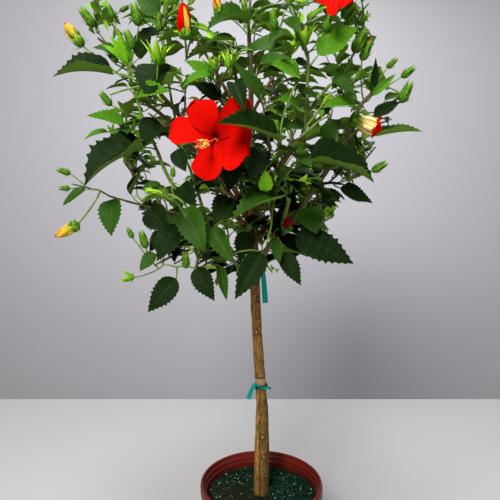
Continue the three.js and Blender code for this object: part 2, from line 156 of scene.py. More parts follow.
PORTRAIT = [  # foot of the blade, tip (mm), face, fold, width, colour, arch
    # the colour column is partly painted light and shade, bright given to lit leaves and deep to shaded ones, over each
    # leaf's own tone
    ((-206, -100, 805), (-276, -130, 794), 40, 50, 0.78, 'deep', 0.5),
    ((-184, -110, 787), (-211, -120, 780), 20, 45, 0.5, 'deep', 0.3),
    ((-197, -110, 829), (-226, -120, 834), 55, 30, 0.75, 'mid', 0.3),
    ((-138, -140, 808), (-145, -170, 760), 85, 12, 0.85, 'deep', 0.3),
    ((-163, -150, 764), (-116, -170, 766), 62, 40, 0.6, 'bright', 0.5),
    ((-166, -120, 820), (-145, -130, 851), 70, 20, 0.7, 'deep', 0.3),
    ((-136, -130, 874), (-166, -130, 894), 70, 20, 0.8, 'mid', 0.3),
    ((-163, -100, 707), (-239, -130, 652), 38, 50, 0.84, 'deep', 0.5),
    ((-215, -80, 636), (-213, -100, 584), 88, 14, 0.7, 'mid', 0.35),
    ((-254, -80, 650), (-286, -85, 626), 60, 25, 0.45, 'mid', 0.35),
    ((-192, -70, 642), (-174, -75, 677), 30, 70, 0.5, 'deep', 0.2),
    ((-217, -90, 729), (-248, -100, 717), 40, 35, 0.5, 'bright', 0.4),
    ((-192, -100, 740), (-237, -120, 746), 60, 30, 0.5, 'bright', 0.4),
    ((-146, -120, 743), (-162, -120, 706), 85, 10, 0.85, 'deep', 0.2),
    ((-168, -60, 622), (-139, -70, 590), 85, 12, 0.95, 'deep', 0.2),
    ((-120, -100, 599), (-146, -120, 551), 80, 16, 0.62, 'deep', 0.35),
    ((-105, -130, 624), (-78, -150, 565), 82, 24, 0.58, 'mid', 0.4),
    ((-123, -100, 524), (-162, -110, 478), 85, 12, 0.56, 'deep', 0.25),
    ((-94, -110, 541), (-68, -120, 496), 80, 18, 0.58, 'deep', 0.3),
    ((-60, -110, 543), (-51, -120, 496), 60, 60, 0.5, 'mid', 0.2),
    ((-72, -120, 596), (-40, -140, 549), 75, 35, 0.5, 'mid', 0.35),
    ((-3, -120, 563), (-39, -140, 502), 78, 30, 0.52, 'deep', 0.4),
    ((14, -100, 581), (22, -110, 545), 70, 35, 0.5, 'mid', 0.3),
    ((27, -90, 560), (53, -100, 514), 80, 15, 0.5, 'deep', 0.2),
    ((47, -80, 586), (129, -90, 544), 78, 12, 0.5, 'deep', 0.2),
    ((61, -80, 623), (74, -100, 587), 80, 12, 0.95, 'mid', 0.3),
    ((21, -140, 637), (-42, -180, 608), 32, 54, 0.66, 'mid', 0.4),
    ((59, -120, 686), (153, -100, 658), 36, 52, 0.80, 'deep', 0.5),
    ((110, -80, 652), (157, -80, 630), 65, 20, 0.5, 'deep', 0.2),
    ((174, -20, 733), (243, -30, 738), 22, 52, 0.5, 'mid', 0.3),
    ((167, -40, 757), (207, -30, 782), 45, 40, 0.55, 'deep', 0.3),
    ((129, -100, 759), (74, -140, 752), 35, 30, 0.55, 'bright', 0.4),
    ((42, -170, 785), (4, -200, 791), 62, 20, 0.62, 'bright', 0.3),
    ((69, -130, 822), (123, -120, 860), 62, 25, 0.55, 'bright', 0.3),
    ((162, -40, 795), (164, -50, 842), 75, 40, 0.32, 'deep', 0.1),
    ((-22, -140, 859), (-71, -170, 839), 44, 48, 0.74, 'mid', 0.8),
    ((-37, -150, 834), (-74, -170, 823), 40, 40, 0.45, 'mid', 0.4),
    ((-67, -160, 788), (-101, -180, 769), 40, 35, 0.5, 'bright', 0.4),
    ((-65, -150, 789), (-100, -160, 806), 60, 20, 0.55, 'bright', 0.3),
    ((-56, -130, 767), (-94, -140, 785), 75, 15, 0.5, 'deep', 0.2),
    ((-38, -190, 773), (-24, -225, 731), 70, 42, 0.50, 'deep', 0.4),
    ((-4, -170, 756), (-38, -190, 794), 62, 40, 0.42, 'mid', 0.4),
    ((-9, -160, 800), (31, -190, 799), 50, 25, 0.55, 'mid', 0.4),
    ((16, -190, 704), (-56, -245, 716), 44, 42, 0.62, 'deep', 0.35),
    ((1, -160, 645), (0, -170, 672), 75, 20, 0.65, 'young', 0.3),
    ((83, -90, 721), (106, -100, 745), 75, 15, 0.75, 'mid', 0.3),
    ((-151, -110, 561), (-170, -120, 537), 75, 20, 0.65, 'mid', 0.3),
    ((112, -100, 809), (89, -120, 780), 70, 20, 0.6, 'mid', 0.3),
    ((91, -120, 790), (121, -130, 768), 55, 30, 0.55, 'mid', 0.4),
    ((-181, -110, 818), (-203, -122, 848), 60, 45, 0.42, 'young', 0.5),
    ((-183, -112, 820), (-192, -120, 857), 70, 50, 0.36, 'young', 0.3),
    ((-184, -112, 812), (-214, -126, 836), 45, 45, 0.44, 'young', 0.5),
    ((-179, -110, 818), (-191, -110, 850), 60, 30, 0.55, 'bright', 0.3),
    ((-141, -90, 589), (-160, -100, 562), 80, 20, 0.7, 'deep', 0.3),
    ((-90, -90, 604), (-109, -100, 590), 70, 20, 0.8, 'deep', 0.3),
    ((-22, -60, 588), (-34, -70, 544), 80, 20, 0.7, 'deep', 0.2),
    ((-48, -130, 639), (-65, -160, 601), 78, 20, 0.6, 'deep', 0.4),
    ((-38, -130, 689), (-47, -150, 644), 80, 20, 0.62, 'deep', 0.3),
    ((-4, -150, 698), (-19, -180, 656), 80, 22, 0.6, 'deep', 0.4),
    ((-116, -100, 654), (-92, -120, 626), 75, 20, 0.75, 'deep', 0.3),
    ((-120, -110, 702), (-105, -120, 672), 80, 15, 0.7, 'deep', 0.2),
    ((42, -130, 697), (61, -150, 675), 70, 25, 0.6, 'mid', 0.3),
    ((55, -130, 726), (26, -160, 724), 55, 28, 0.6, 'mid', 0.4),
    ((46, -140, 750), (13, -180, 754), 60, 25, 0.6, 'bright', 0.4),
    ((71, -120, 767), (44, -150, 770), 55, 25, 0.6, 'mid', 0.3),
    ((162, -40, 793), (145, -50, 812), 70, 30, 0.5, 'mid', 0.3),
    ((184, -30, 785), (211, -20, 796), 45, 30, 0.5, 'mid', 0.3),
    ((162, -40, 789), (197, -40, 821), 70, 45, 0.32, 'bright', 0.2),
    ((86, -120, 844), (74, -130, 866), 70, 25, 0.6, 'mid', 0.3),
    ((22, -160, 855), (41, -180, 832), 55, 30, 0.6, 'mid', 0.4),
    ((21, -155, 845), (3, -170, 823), 60, 30, 0.5, 'mid', 0.4),
    ((118, -60, 693), (130, -60, 713), 60, 40, 0.5, 'mid', 0.2),
]
BUDS = [  # kind, foot, tip, where the stalk joins (mm)
    ('green', (-239, -70, 878), (-255, -74, 902), (-224, -80, 857)),
    ('green', (-208, -80, 885), (-215, -84, 903), (-199, -100, 858)),
    ('green', (-167, -110, 865), (-173, -114, 893), (-166, -120, 818)),
    ('green', (-172, -120, 832), (-181, -124, 855), (-170, -120, 811)),
    ('spiky', (-132, -170, 799), (-129, -174, 830), (-144, -160, 763)),
    ('green', (-136, -130, 851), (-137, -134, 872), (-132, -130, 828)),
    ('green', (-209, -100, 763), (-222, -104, 780), (-196, -100, 747)),
    ('green', (-275, -80, 672), (-293, -84, 678), (-252, -80, 655)),
    ('small', (-276, -80, 651), (-291, -84, 651), (-254, -80, 652)),
    ('spiky_small', (-181, -110, 526), (-201, -114, 530), (-140, -110, 546)),
    ('small', (-181, -110, 582), (-187, -114, 596), (-158, -110, 558)),
    ('small', (-163, -110, 568), (-169, -114, 592), (-152, -110, 557)),
    ('green', (-108, -110, 540), (-108, -114, 562), (-110, -105, 541)),
    ('spiky', (49, -140, 830), (48, -144, 862), (53, -125, 817)),
    ('green', (124, -90, 836), (139, -94, 867), (93, -110, 792)),
    ('tipped', (137, -80, 829), (148, -84, 854), (138, -50, 792)),
    ('green', (186, -30, 832), (200, -34, 845), (164, -40, 795)),
    ('green', (211, -20, 821), (230, -24, 835), (165, -40, 789)),
    ('green', (211, -20, 783), (225, -24, 813), (160, -40, 751)),
    ('green', (157, -70, 676), (178, -74, 688), (126, -70, 655)),
    ('spiky_small', (-45, -170, 795), (-43, -174, 818), (-54, -150, 785)),
    ('spiky_small', (-62, -170, 792), (-68, -174, 812), (-58, -150, 783)),
    ('green', (103, -110, 875), (119, -114, 894), (86, -120, 846)),
    ('small', (130, -90, 873), (141, -94, 885), (110, -100, 845)),
    ('tipped', (110, -110, 868), (119, -114, 883), (94, -120, 841)),
    ('small', (78, -130, 851), (84, -134, 874), (69, -130, 828)),
    ('small', (-24, -140, 869), (-28, -144, 884), (-20, -130, 861)),
    ('green', (12, -160, 843), (8, -164, 865), (13, -155, 835)),
    ('small', (-196, -110, 818), (-209, -114, 830), (-191, -110, 813)),
    ('small', (-94, -150, 834), (-85, -154, 852), (-101, -140, 813)),
]
FLOWER_BUDS = [
    ('sheathed', (-250, -90, 846), (-272, -94, 875), (-185, -110, 790)),
    ('red', (-98, -170, 830), (-100, -174, 871), (-100, -150, 810)),
    ('orange', (-58, -160, 862), (-61, -164, 886), (-37, -150, 854)),
    ('yellow', (-263, -90, 600), (-295, -94, 583), (-241, -75, 638)),
    ('wilted', (123, -84, 749), (164, -88, 733), (118, -60, 719)),
    ('red_small', (40, -50, 590), (35, -54, 610), (30, -30, 574)),
]
OPENINGS = [  # clear sight lines: centre on the plane through the stem, half width, half height (mm)
    (-100, 800, 19, 7),
    (-63, 802, 5, 6),
    (-72, 787, 4, 5),
    (-14, 796, 6, 5),
    (-6, 779, 10, 11),
    (-149, 708, 18, 19),
    (-114, 683, 13, 11),
    (-171, 774, 8, 6),
    (-144, 771, 10, 6),
    (-130, 797, 8, 10),
    (-165, 670, 14, 13),
    (-44, 647, 4, 11),
    (-89, 634, 14, 6),
    (36, 689, 8, 8),
    (33, 722, 6, 6),
    (-38, 551, 8, 6),
    (-112, 543, 6, 10),
    (122, 773, 10, 6),
    (108, 661, 10, 13),
    (138, 651, 13, 6),
    (-58, 897, 22, 10),
    (-25, 882, 8, 16),
    (34, 897, 6, 10),
    (-88, 927, 14, 19),
    (0, 888, 6, 6),
    (79, 849, 3, 14),
    (155, 849, 6, 13),
    (158, 791, 5, 8),
    (57, 730, 5, 8),
    (-246, 855, 10, 8),
    (-207, 794, 8, 8),
    (-182, 764, 8, 8),
    (-285, 791, 35, 14),
    (-295, 714, 32, 14),
    (-222, 667, 16, 14),
    (-219, 610, 22, 13),
    (-260, 548, 26, 22),
    (-317, 761, 22, 16),
    (-148, 487, 11, 14),
    (-116, 466, 16, 16),
    (-27, 466, 11, 11),
    (30, 491, 8, 13),
    (81, 515, 13, 13),
    (109, 596, 8, 8),
    (149, 612, 19, 19),
    (205, 714, 22, 10),
    (-106, 494, 5, 10),
]

OUTLINE = [  # the crown's outline from the front, on the plane through the stem (mm)
    (-216, 1080), (-248, 986), (-269, 927), (-267, 867), (-237, 849), (-238, 799), (-258, 761), 
    (-233, 730), (-218, 691), (-207, 636), (-184, 601), (-171, 564), (-148, 536), (-126, 505), 
    (-92, 499), (-64, 496), (-27, 496), (0, 504), (37, 523), (71, 536), (97, 567), 
    (117, 612), (137, 636), (149, 667), (164, 698), (186, 730), (207, 764), (215, 799), 
    (196, 822), (177, 852), (170, 897), (162, 956), (117, 1080),
]

# ----------------------------------------------------------- small helpers
def V(*a):
    return np.array(a, float)


def unit(v):
    v = np.asarray(v, float)
    n = np.linalg.norm(v, axis=-1, keepdims=True)
    return v / np.maximum(n, 1e-12)


def square_to(v, d):
    """v with its share along d taken out, at unit length"""
    d = unit(d)
    return unit(v - (v * d).sum(-1, keepdims=True) * d)


def turn(v, axis, a):
    axis = unit(axis)
    return v * math.cos(a) + np.cross(axis, v) * math.sin(a) + axis * np.dot(axis, v) * (1 - math.cos(a))


def smooth(a, b, x):
    t = np.clip((x - a) / (b - a), 0, 1)
    return t * t * (3 - 2 * t)


def lattice(p, seed=0):
    """smooth value noise in 3-D, -1 to 1"""
    p = np.asarray(p, float) + 100.0
    i = np.floor(p).astype(np.int64)
    f = p - i
    f = f * f * (3 - 2 * f)
    out = 0
    for dx in (0, 1):
        for dy in (0, 1):
            for dz in (0, 1):
                h = (i[..., 0] + dx) * 374761393 + (i[..., 1] + dy) * 668265263 + (i[..., 2] + dz) * 2147483647 + seed * 974634777
                h = (h ^ (h >> 13)) * 1274126177
                h = ((h ^ (h >> 16)) & 0xFFFFFF) / float(0xFFFFFF)
                w = (f[..., 0] if dx else 1 - f[..., 0]) * (f[..., 1] if dy else 1 - f[..., 1]) * (f[..., 2] if dz else 1 - f[..., 2])
                out = out + w * h
    return out * 2 - 1


def bezier(a, b, c, n):
    t = np.linspace(0, 1, n)[:, None]
    return (1 - t) ** 2 * a + 2 * t * (1 - t) * b + t * t * c


def spline(points, n):
    """a smooth way through points (Catmull-Rom), n points"""
    p = np.asarray(points, float)
    p = np.vstack([2 * p[0] - p[1], p, 2 * p[-1] - p[-2]])
    k = len(p) - 3
    out = []
    for u in np.linspace(0, k - 1e-9, n):
        i = int(u)
        t = u - i
        a, b, c, d = p[i:i + 4]
        out.append(.5 * (2 * b + (c - a) * t + (2 * a - 5 * b + 4 * c - d) * t * t + (3 * b - a - 3 * c + d) * t ** 3))
    return np.array(out)


class Kind:
    """everything of one kind, joined into one mesh"""

    def __init__(self, name):
        self.name, self.v, self.q, self.t, self.uv, self.qm, self.tm, self.n = name, [], [], [], [], [], [], 0
        self.margin = []

    def add(self, v, quads=None, tris=None, uv=None, mat=0, margin=None):
        v = np.asarray(v, float).reshape(-1, 3)
        if quads is not None and len(quads):
            q = np.asarray(quads).reshape(-1, 4) + self.n
            self.q.append(q)
            self.qm.append(np.broadcast_to(np.asarray(mat), (len(q),)).copy())
        if tris is not None and len(tris):
            t = np.asarray(tris).reshape(-1, 3) + self.n
            self.t.append(t)
            self.tm.append(np.broadcast_to(np.asarray(mat), (len(t),)).copy())
        self.v.append(v)
        self.uv.append(np.zeros((len(v), 2)) if uv is None else np.asarray(uv, float).reshape(-1, 2))
        self.n += len(v)

    def build(self, mats, uv=True, flat=False, sharp=None):
        v = np.vstack(self.v)
        q = np.vstack(self.q) if self.q else np.zeros((0, 4), int)
        t = np.vstack(self.t) if self.t else np.zeros((0, 3), int)
        me = bpy.data.meshes.new(self.name)
        me.vertices.add(len(v))
        me.vertices.foreach_set("co", v.ravel())
        loops = np.concatenate([q.ravel(), t.ravel()]).astype(np.int32)
        me.loops.add(len(loops))
        me.loops.foreach_set("vertex_index", loops)
        start = np.concatenate([np.arange(len(q)) * 4, len(q) * 4 + np.arange(len(t)) * 3]).astype(np.int32)
        me.polygons.add(len(start))
        me.polygons.foreach_set("loop_start", start)
        mi = np.concatenate([np.concatenate(self.qm) if self.qm else [], np.concatenate(self.tm) if self.tm else []]).astype(np.int32)
        for m in mats:
            me.materials.append(m)
        me.polygons.foreach_set("material_index", mi)
        me.polygons.foreach_set("use_smooth", np.full(len(start), not flat))
        me.update(calc_edges=True)
        me.validate()
        if uv:
            layer = me.uv_layers.new(name="OFBake")
            layer.data.foreach_set("uv", np.vstack(self.uv)[loops].astype(np.float32).ravel())
        if sharp:
            me.set_sharp_from_angle(angle=math.radians(sharp))
        ob = bpy.data.objects.new(self.name, me)
        bpy.context.scene.collection.objects.link(ob)
        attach(ob, "root")
        return ob


def grid_quads(rows, cols, flip=False):
    i = np.arange((rows - 1) * (cols - 1))
    r, c = i // (cols - 1), i % (cols - 1)
    a = r * cols + c
    q = np.stack([a, a + 1, a + cols + 1, a + cols], 1)
    return q[:, ::-1] if flip else q


def tube(kind, path, radii, sides=6, mat=0, flat=1.0, ref=None, vspan=(0, 1), bulge=None):
    """a closed tapering tube along a path; flat squashes it across ref"""
    path = np.asarray(path, float)
    n = len(path)
    radii = np.broadcast_to(np.asarray(radii, float), (n,))
    T = unit(np.gradient(path, axis=0))
    if ref is None:
        m = unit(T.mean(0)) if np.linalg.norm(T.mean(0)) > 1e-6 else T[0]
        ref = np.eye(3)[np.argmin(np.abs(m))]
    N = square_to(np.broadcast_to(ref, T.shape), T)
    Bn = np.cross(T, N)
    a = np.arange(sides) / sides * 2 * math.pi
    r = radii[:, None] * (np.ones((n, sides)) if bulge is None else bulge)
    ring = path[:, None] + r[..., None] * (np.cos(a)[None, :, None] * N[:, None] * flat + np.sin(a)[None, :, None] * Bn[:, None])
    v = np.vstack([ring.reshape(-1, 3), path[:1] - T[:1] * radii[0] * .15, path[-1:] + T[-1:] * radii[-1] * .6])
    i, j = np.meshgrid(np.arange(n - 1), np.arange(sides), indexing="ij")
    j2 = (j + 1) % sides
    q = np.stack([i * sides + j, i * sides + j2, (i + 1) * sides + j2, (i + 1) * sides + j], -1).reshape(-1, 4)
    k = np.arange(sides)
    t = np.vstack([np.stack([(k + 1) % sides, k, np.full(sides, n * sides)], 1),
                   np.stack([(n - 1) * sides + k, (n - 1) * sides + (k + 1) % sides, np.full(sides, n * sides + 1)], 1)])
    vv = np.linspace(vspan[0], vspan[1], n)
    uv = np.stack(np.broadcast_arrays(np.abs(a / math.pi - 1)[None, :], vv[:, None]), -1).reshape(-1, 2)
    uv = np.vstack([uv, [[.5, vspan[0]]], [[.5, vspan[1]]]])
    kind.add(v, q, t, uv, mat)


# ------------------------------------------------------------------ leaves
WIDTH = np.array([[0, .03], [.02, .24], [.06, .52], [.13, .78], [.22, .94], [.33, 1.0], [.45, .955], [.58, .81],
                  [.70, .60], [.80, .405], [.88, .24], [.94, .125], [.98, .05], [1, .006]])


def blades(specs, kinds, rows, half, quilt):
    """leaf blades, each a thin closed body: specs hold foot, chord, normal, length, width, fold, arch, wave, twist"""
    for cls in sorted(set(s["cls"] for s in specs)):
        S = [s for s in specs if s["cls"] == cls]
        K = len(S)
        col = lambda k: np.array([s[k] for s in S], float)
        foot, D, N = col("foot"), unit(col("dir")), col("normal")
        N = square_to(N, D)
        Bn = np.cross(D, N)
        L, wide, fold, arch, wave, twist, ph, notch = (col(k)[:, None, None] for k in
                                                       ("length", "wide", "fold", "arch", "wave", "twist", "phase", "notch"))
        t = np.linspace(0, 1, rows + 1)
        t = t ** .93
        s = np.sign(np.linspace(-1, 1, 2 * half + 1)) * np.abs(np.linspace(-1, 1, 2 * half + 1)) ** .9
        edge = np.abs(s) > .999
        w = np.interp(t, WIDTH[:, 0], WIDTH[:, 1])
        teeth = smooth(.12, .26, t) * (1 - smooth(.93, .985, t)) * (.35 + .65 * w)
        step = 3 if quilt else 2
        odd = (np.arange(rows + 1) % step == step - 1).astype(int)
        dt = 1.0 / rows
        uneven = 1 + .55 * lattice(np.stack([np.arange(rows + 1) * .9, np.arange(rows + 1) * 0 + len(cls), 0. * t], -1), 7)
        tooth = teeth * np.where(odd == 1, .105 * uneven, -.05 if step == 2 else -.035)
        w3 = (w[None, :, None] + np.where(edge, 1, 0)[None, None, :] * tooth[None, :, None] * notch) * wide * .5
        x = s[None, None, :] * w3
        ahead = np.where(edge, 1, 0)[None, None, :] * (teeth * np.where(odd == 1, .75, .1))[None, :, None] * dt * notch
        ax = np.abs(x)
        # lift of the halves: a V along the midrib that eases towards the margin
        z = ax * np.sin(fold) * (1 - .24 * np.abs(s)[None, None, :])
        xx = x * np.cos(fold * (1 - .14 * np.abs(s)[None, None, :]))
        tt = t[None, :, None]
        z = z + wave * wide * np.sin(2 * math.pi * (1.35 * tt + ph) + np.where(s > 0, 1.1, 0)[None, None, :]) * (np.abs(s) ** 2)[None, None, :] * w[None, :, None]
        z = z + .05 * wide * smooth(0, .12, tt) * (1 - smooth(.1, .4, tt)) * (np.abs(s) ** 1.5)[None, None, :]
        if quilt:
            cell = np.cos(2 * math.pi * 6.5 * (tt - .36 * np.abs(s)[None, None, :]))
            z = z + .010 * cell * (4 * np.abs(s) * (1 - np.abs(s)))[None, None, :] * w[None, :, None] * smooth(.03, .15, tt)
        # spine: an arch between foot and tip, the tip dropping a little more
        th = arch * (.5 - t[None, :, None]) - .35 * arch * t[None, :, None] ** 3
        th = th[..., 0]
        seg = np.diff(t)[None, :]
        mid = (th[:, 1:] + th[:, :-1]) / 2
        py = np.concatenate([np.zeros((K, 1)), np.cumsum(np.cos(mid) * seg, 1)], 1)
        pz = np.concatenate([np.zeros((K, 1)), np.cumsum(np.sin(mid) * seg, 1)], 1)
        ea = np.arctan2(pz[:, -1:], py[:, -1:])
        sc = 1 / np.hypot(py[:, -1:], pz[:, -1:])
        py, pz = (py * np.cos(-ea) - pz * np.sin(-ea)) * sc, (py * np.sin(-ea) + pz * np.cos(-ea)) * sc
        th = th - ea
        e = lambda a: a[:, None, :]
        P = e(foot) + L * (py[..., None] * e(D) + pz[..., None] * e(N))
        T = np.cos(th)[..., None] * e(D) + np.sin(th)[..., None] * e(N)
        n = -np.sin(th)[..., None] * e(D) + np.cos(th)[..., None] * e(N)
        b = np.broadcast_to(e(Bn), n.shape)
        tw = (twist[..., 0] * (t - .35)[None, :])[..., None]
        b2, n2 = b * np.cos(tw) + n * np.sin(tw), n * np.cos(tw) - b * np.sin(tw)
        P, T, b2, n2 = (a[:, :, None, :] for a in (P, T, b2, n2))
        L4 = L[..., None]
        top = P + L4 * (xx[..., None] * b2 + z[..., None] * n2 + ahead[..., None] * T)
        thick = (.00034 * (1 - np.abs(s) ** 1.4))[None, :] * np.minimum(1, w / .25)[:, None] * (smooth(0, .03, t) * (1 - smooth(.97, 1, t)))[:, None]
        thick = thick + (.0007 * (np.abs(s) < .01))[None, :] * ((1 - t) ** 1.2 * smooth(0, .02, t))[:, None]
        low = top - n2 * thick[None, :, :, None] * np.clip(L4 / .06, .35, 1.1)
        R, C = rows + 1, 2 * half + 1
        qt = grid_quads(R, C, flip=True)
        per = R * C
        base = (np.arange(K) * per)[:, None, None]
        uvt = np.stack(np.broadcast_arrays(.25 + .23 * s[None, :], .01 + .98 * t[:, None]), -1).reshape(-1, 2)
        uvb = uvt + V(.5, 0)
        kind = kinds[cls]
        kind.add(top.reshape(-1, 3), (qt[None] + base).reshape(-1, 4), None, np.tile(uvt, (K, 1)), 0)
        kind.add(low.reshape(-1, 3), (qt[:, [0, 3, 2, 1]][None] + base).reshape(-1, 4), None, np.tile(uvb, (K, 1)), 1)


def leaf_spec(cls, foot, direction, normal, length, wide=.58, fold=.45, arch=.5, wave=.05, twist=0., notch=1.):
    return dict(cls=cls, foot=foot, dir=direction, normal=normal, length=length, wide=wide, fold=fold, arch=arch,
                wave=wave, twist=twist, phase=rng.random(), notch=notch)

# --------------------------------------------------- the frame of the plant
def stem_centre(z):
    t = (np.asarray(z, float) - STEM_Z0) / (STEM_Z1 - STEM_Z0)
    k = np.clip((t - .30) / .70, 0, 1)
    x = .0032 * np.sin(np.pi * np.minimum(1, t / .55)) * .35 - .014 * (1 - (1 - k) ** 1.7)
    return np.stack([x, .0015 * np.sin(5.2 * t), np.asarray(z, float) + 0 * x], -1)


def stem_radius(z):
    t = np.clip((np.asarray(z, float) - STEM_Z0) / (STEM_Z1 - STEM_Z0), 0, 1)
    a = np.array(STEM_R)
    i = np.clip(np.searchsorted(a[:, 0], t, side="right") - 1, 0, len(a) - 2)
    f = (t - a[i, 0]) / (a[i + 1, 0] - a[i, 0])
    f = f * f * (3 - 2 * f)
    return a[i, 1] * (1 - f) + a[i + 1, 1] * f


MASS = {}
for _n, _az, _reach, _z, _size in MASSES:
    _lo, _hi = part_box("foliage_" + _n)
    _c = V(AXIS_X + math.cos(math.radians(_az)) * _reach / 1000, math.sin(math.radians(_az)) * _reach / 1000, _z / 1000)
    MASS[_n] = (_c, _size / 1000)


def along(path, share):
    d = np.concatenate([[0], np.cumsum(np.linalg.norm(np.diff(path, axis=0), axis=1))])
    s = np.atleast_1d(share) * d[-1]
    return np.stack([np.interp(s, d, path[:, k]) for k in range(3)], -1)


def bough_path(b):
    name, parent, where, mass, r0, r1, rise = b
    c, size = MASS[mass]
    if parent == "trunk":
        a = stem_centre(where)
    elif parent == "tip":
        a = stem_centre(STEM_Z1 - .004)
    else:
        a = along(BOUGH_PATH[parent], where)[0]
    d = np.linalg.norm(c - a)
    to = a + (c - a) * (1 - .45 * size / d)
    mid = (a + to) / 2
    mid = V(mid[0] + (mid[0] - AXIS_X) * .12, mid[1] * 1.12, mid[2] + d * rise * .5)
    return bezier(a, mid, to, 48)


BOUGH_PATH = {}
for _b in BOUGHS:
    BOUGH_PATH[_b[0]] = bough_path(_b)

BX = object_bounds() if CAD_BOX is None else CAD_BOX
LOW, HIGH = np.array(BX[0], float) - .004, np.array(BX[1], float) + .004


def centre_at(z):
    """the crown's middle at this height"""
    return V(AXIS_X, 0, z)


# sight lines: where the leaves part, and what nothing stands in front of
PLATE_X, PLATE_Z, CELL = (-.42, .40), (.30, 1.15), .0022
PLATE = np.full((int((PLATE_Z[1] - PLATE_Z[0]) / CELL) + 1, int((PLATE_X[1] - PLATE_X[0]) / CELL) + 1), 9.0)
_gz, _gx = np.mgrid[0:PLATE.shape[0], 0:PLATE.shape[1]]
_gx, _gz = _gx * CELL + PLATE_X[0], _gz * CELL + PLATE_Z[0]


def sight(p):
    """the point where the line from the viewer through p meets the plane of the stem"""
    p = np.asarray(p, float)
    k = (0 - CAM[1]) / (p[..., 1] - CAM[1])
    return CAM[0] + (p[..., 0] - CAM[0]) * k, CAM[2] + (p[..., 2] - CAM[2]) * k


def inside(px, pz, poly):
    out = np.zeros(np.shape(px), bool)
    j = len(poly) - 1
    for i in range(len(poly)):
        (xi, zi), (xj, zj) = poly[i], poly[j]
        hit = ((zi > pz) != (zj > pz)) & (px < (xj - xi) * (pz - zi) / ((zj - zi) or 1e-9) + xi)
        out ^= hit
        j = i
    return out


OPEN = np.zeros(PLATE.shape, bool)
for _x, _z, _w, _h in OPENINGS:
    OPEN |= ((_gx - _x / 1000) / (_w / 1000)) ** 2 + ((_gz - _z / 1000) / (_h / 1000)) ** 2 < 1.0
OUTSIDE = ~inside(_gx, _gz, [(x / 1000, z / 1000) for x, z in OUTLINE])


def cells(p):
    x, z = sight(p)
    i = np.clip(((z - PLATE_Z[0]) / CELL).round().astype(int), 0, PLATE.shape[0] - 1)
    j = np.clip(((x - PLATE_X[0]) / CELL).round().astype(int), 0, PLATE.shape[1] - 1)
    return i, j


def keep_clear(p, spread=1):
    """nothing grown later stands in front of these points"""
    p = np.asarray(p, float).reshape(-1, 3)
    i, j = cells(p)
    for a in range(-spread, spread + 1):
        for b in range(-spread, spread + 1):
            ii, jj = np.clip(i + a, 0, PLATE.shape[0] - 1), np.clip(j + b, 0, PLATE.shape[1] - 1)
            np.minimum.at(PLATE, (ii, jj), p[:, 1])


def leaf_points(foot, d, n, L, wide, n_t=7):
    t = np.linspace(.08, 1, n_t)
    b = np.cross(d, n)
    w = np.interp(t, WIDTH[:, 0], WIDTH[:, 1]) * L * wide * .5
    s = V(-1, -.5, 0, .5, 1)
    return (foot + (t * L)[:, None, None] * d + (w[:, None] * s[None, :])[..., None] * b).reshape(-1, 3)


def room(p, strict=True, back=.016):
    """may something stand at these points?"""
    if (p < LOW).any() or (p > HIGH).any():
        return False
    i, j = cells(p)
    if OPEN[i, j].any():
        return False
    if strict and OUTSIDE[i, j].mean() > .06:
        return False
    return ((PLATE[i, j] < 8) & (p[:, 1] < PLATE[i, j] + back)).mean() < .045


# ------------------------------------------------------------ what it's made of
CLASSES = ["young", "fresh", "bright", "mid", "deep", "dark"]
leaves = {c: Kind("leaves_" + c) for c in CLASSES}
shoots = {"g": Kind("shoots_green"), "b": Kind("shoots_brown")}
stalks = Kind("leaf_stalks")
buds = Kind("buds_green")
petals = Kind("petals")
stamens = Kind("stamens")
SPECS, FINE = [], []
NODE_P, NODE_T, NODE_R = [], [], []


def limb(path, r0, r1, tone, sides=8, register=True):
    n = len(path)
    t = np.linspace(0, 1, n)
    r = r0 + (r1 - r0) * t ** .85
    # a slight swelling at each joint
    length = np.linalg.norm(np.diff(path, axis=0), axis=1).sum()
    r = r * (1 + .10 * np.maximum(0, np.cos(t * length / .0155 * 2 * math.pi)) ** 4)
    tube(shoots[tone], path, r, sides)
    if register:
        T = unit(np.gradient(path, axis=0))
        NODE_P.extend(path)
        NODE_T.extend(T)
        NODE_R.extend(r)


def stalk(a, d0, foot, d1, r=.0009, tone=None):
    """a leaf's stalk from a limb at a to the foot of its blade"""
    L = np.linalg.norm(foot - a)
    p = bezier(a, (a + d0 * L * .5 + foot - d1 * L * .45) / 2, foot + d1 * .0012, 6)
    tube(stalks, p, np.linspace(r * 1.25, r * .85, 6), 5)


def nearest(p, want=.022, low=True):
    """the limb point a stalk or twig at p would come from"""
    P, T = np.array(NODE_P), np.array(NODE_T)
    d = np.linalg.norm(P - p, axis=1)
    cost = np.abs(d - want) + (1.2 * np.maximum(0, P[:, 2] - p[2] - .012) if low else 0)
    k = int(np.argmin(cost))
    return P[k], T[k], NODE_R[k], d[k]


def noise1(seed, x):
    return float(lattice(V(x, seed * 3.7, seed * 1.3)))


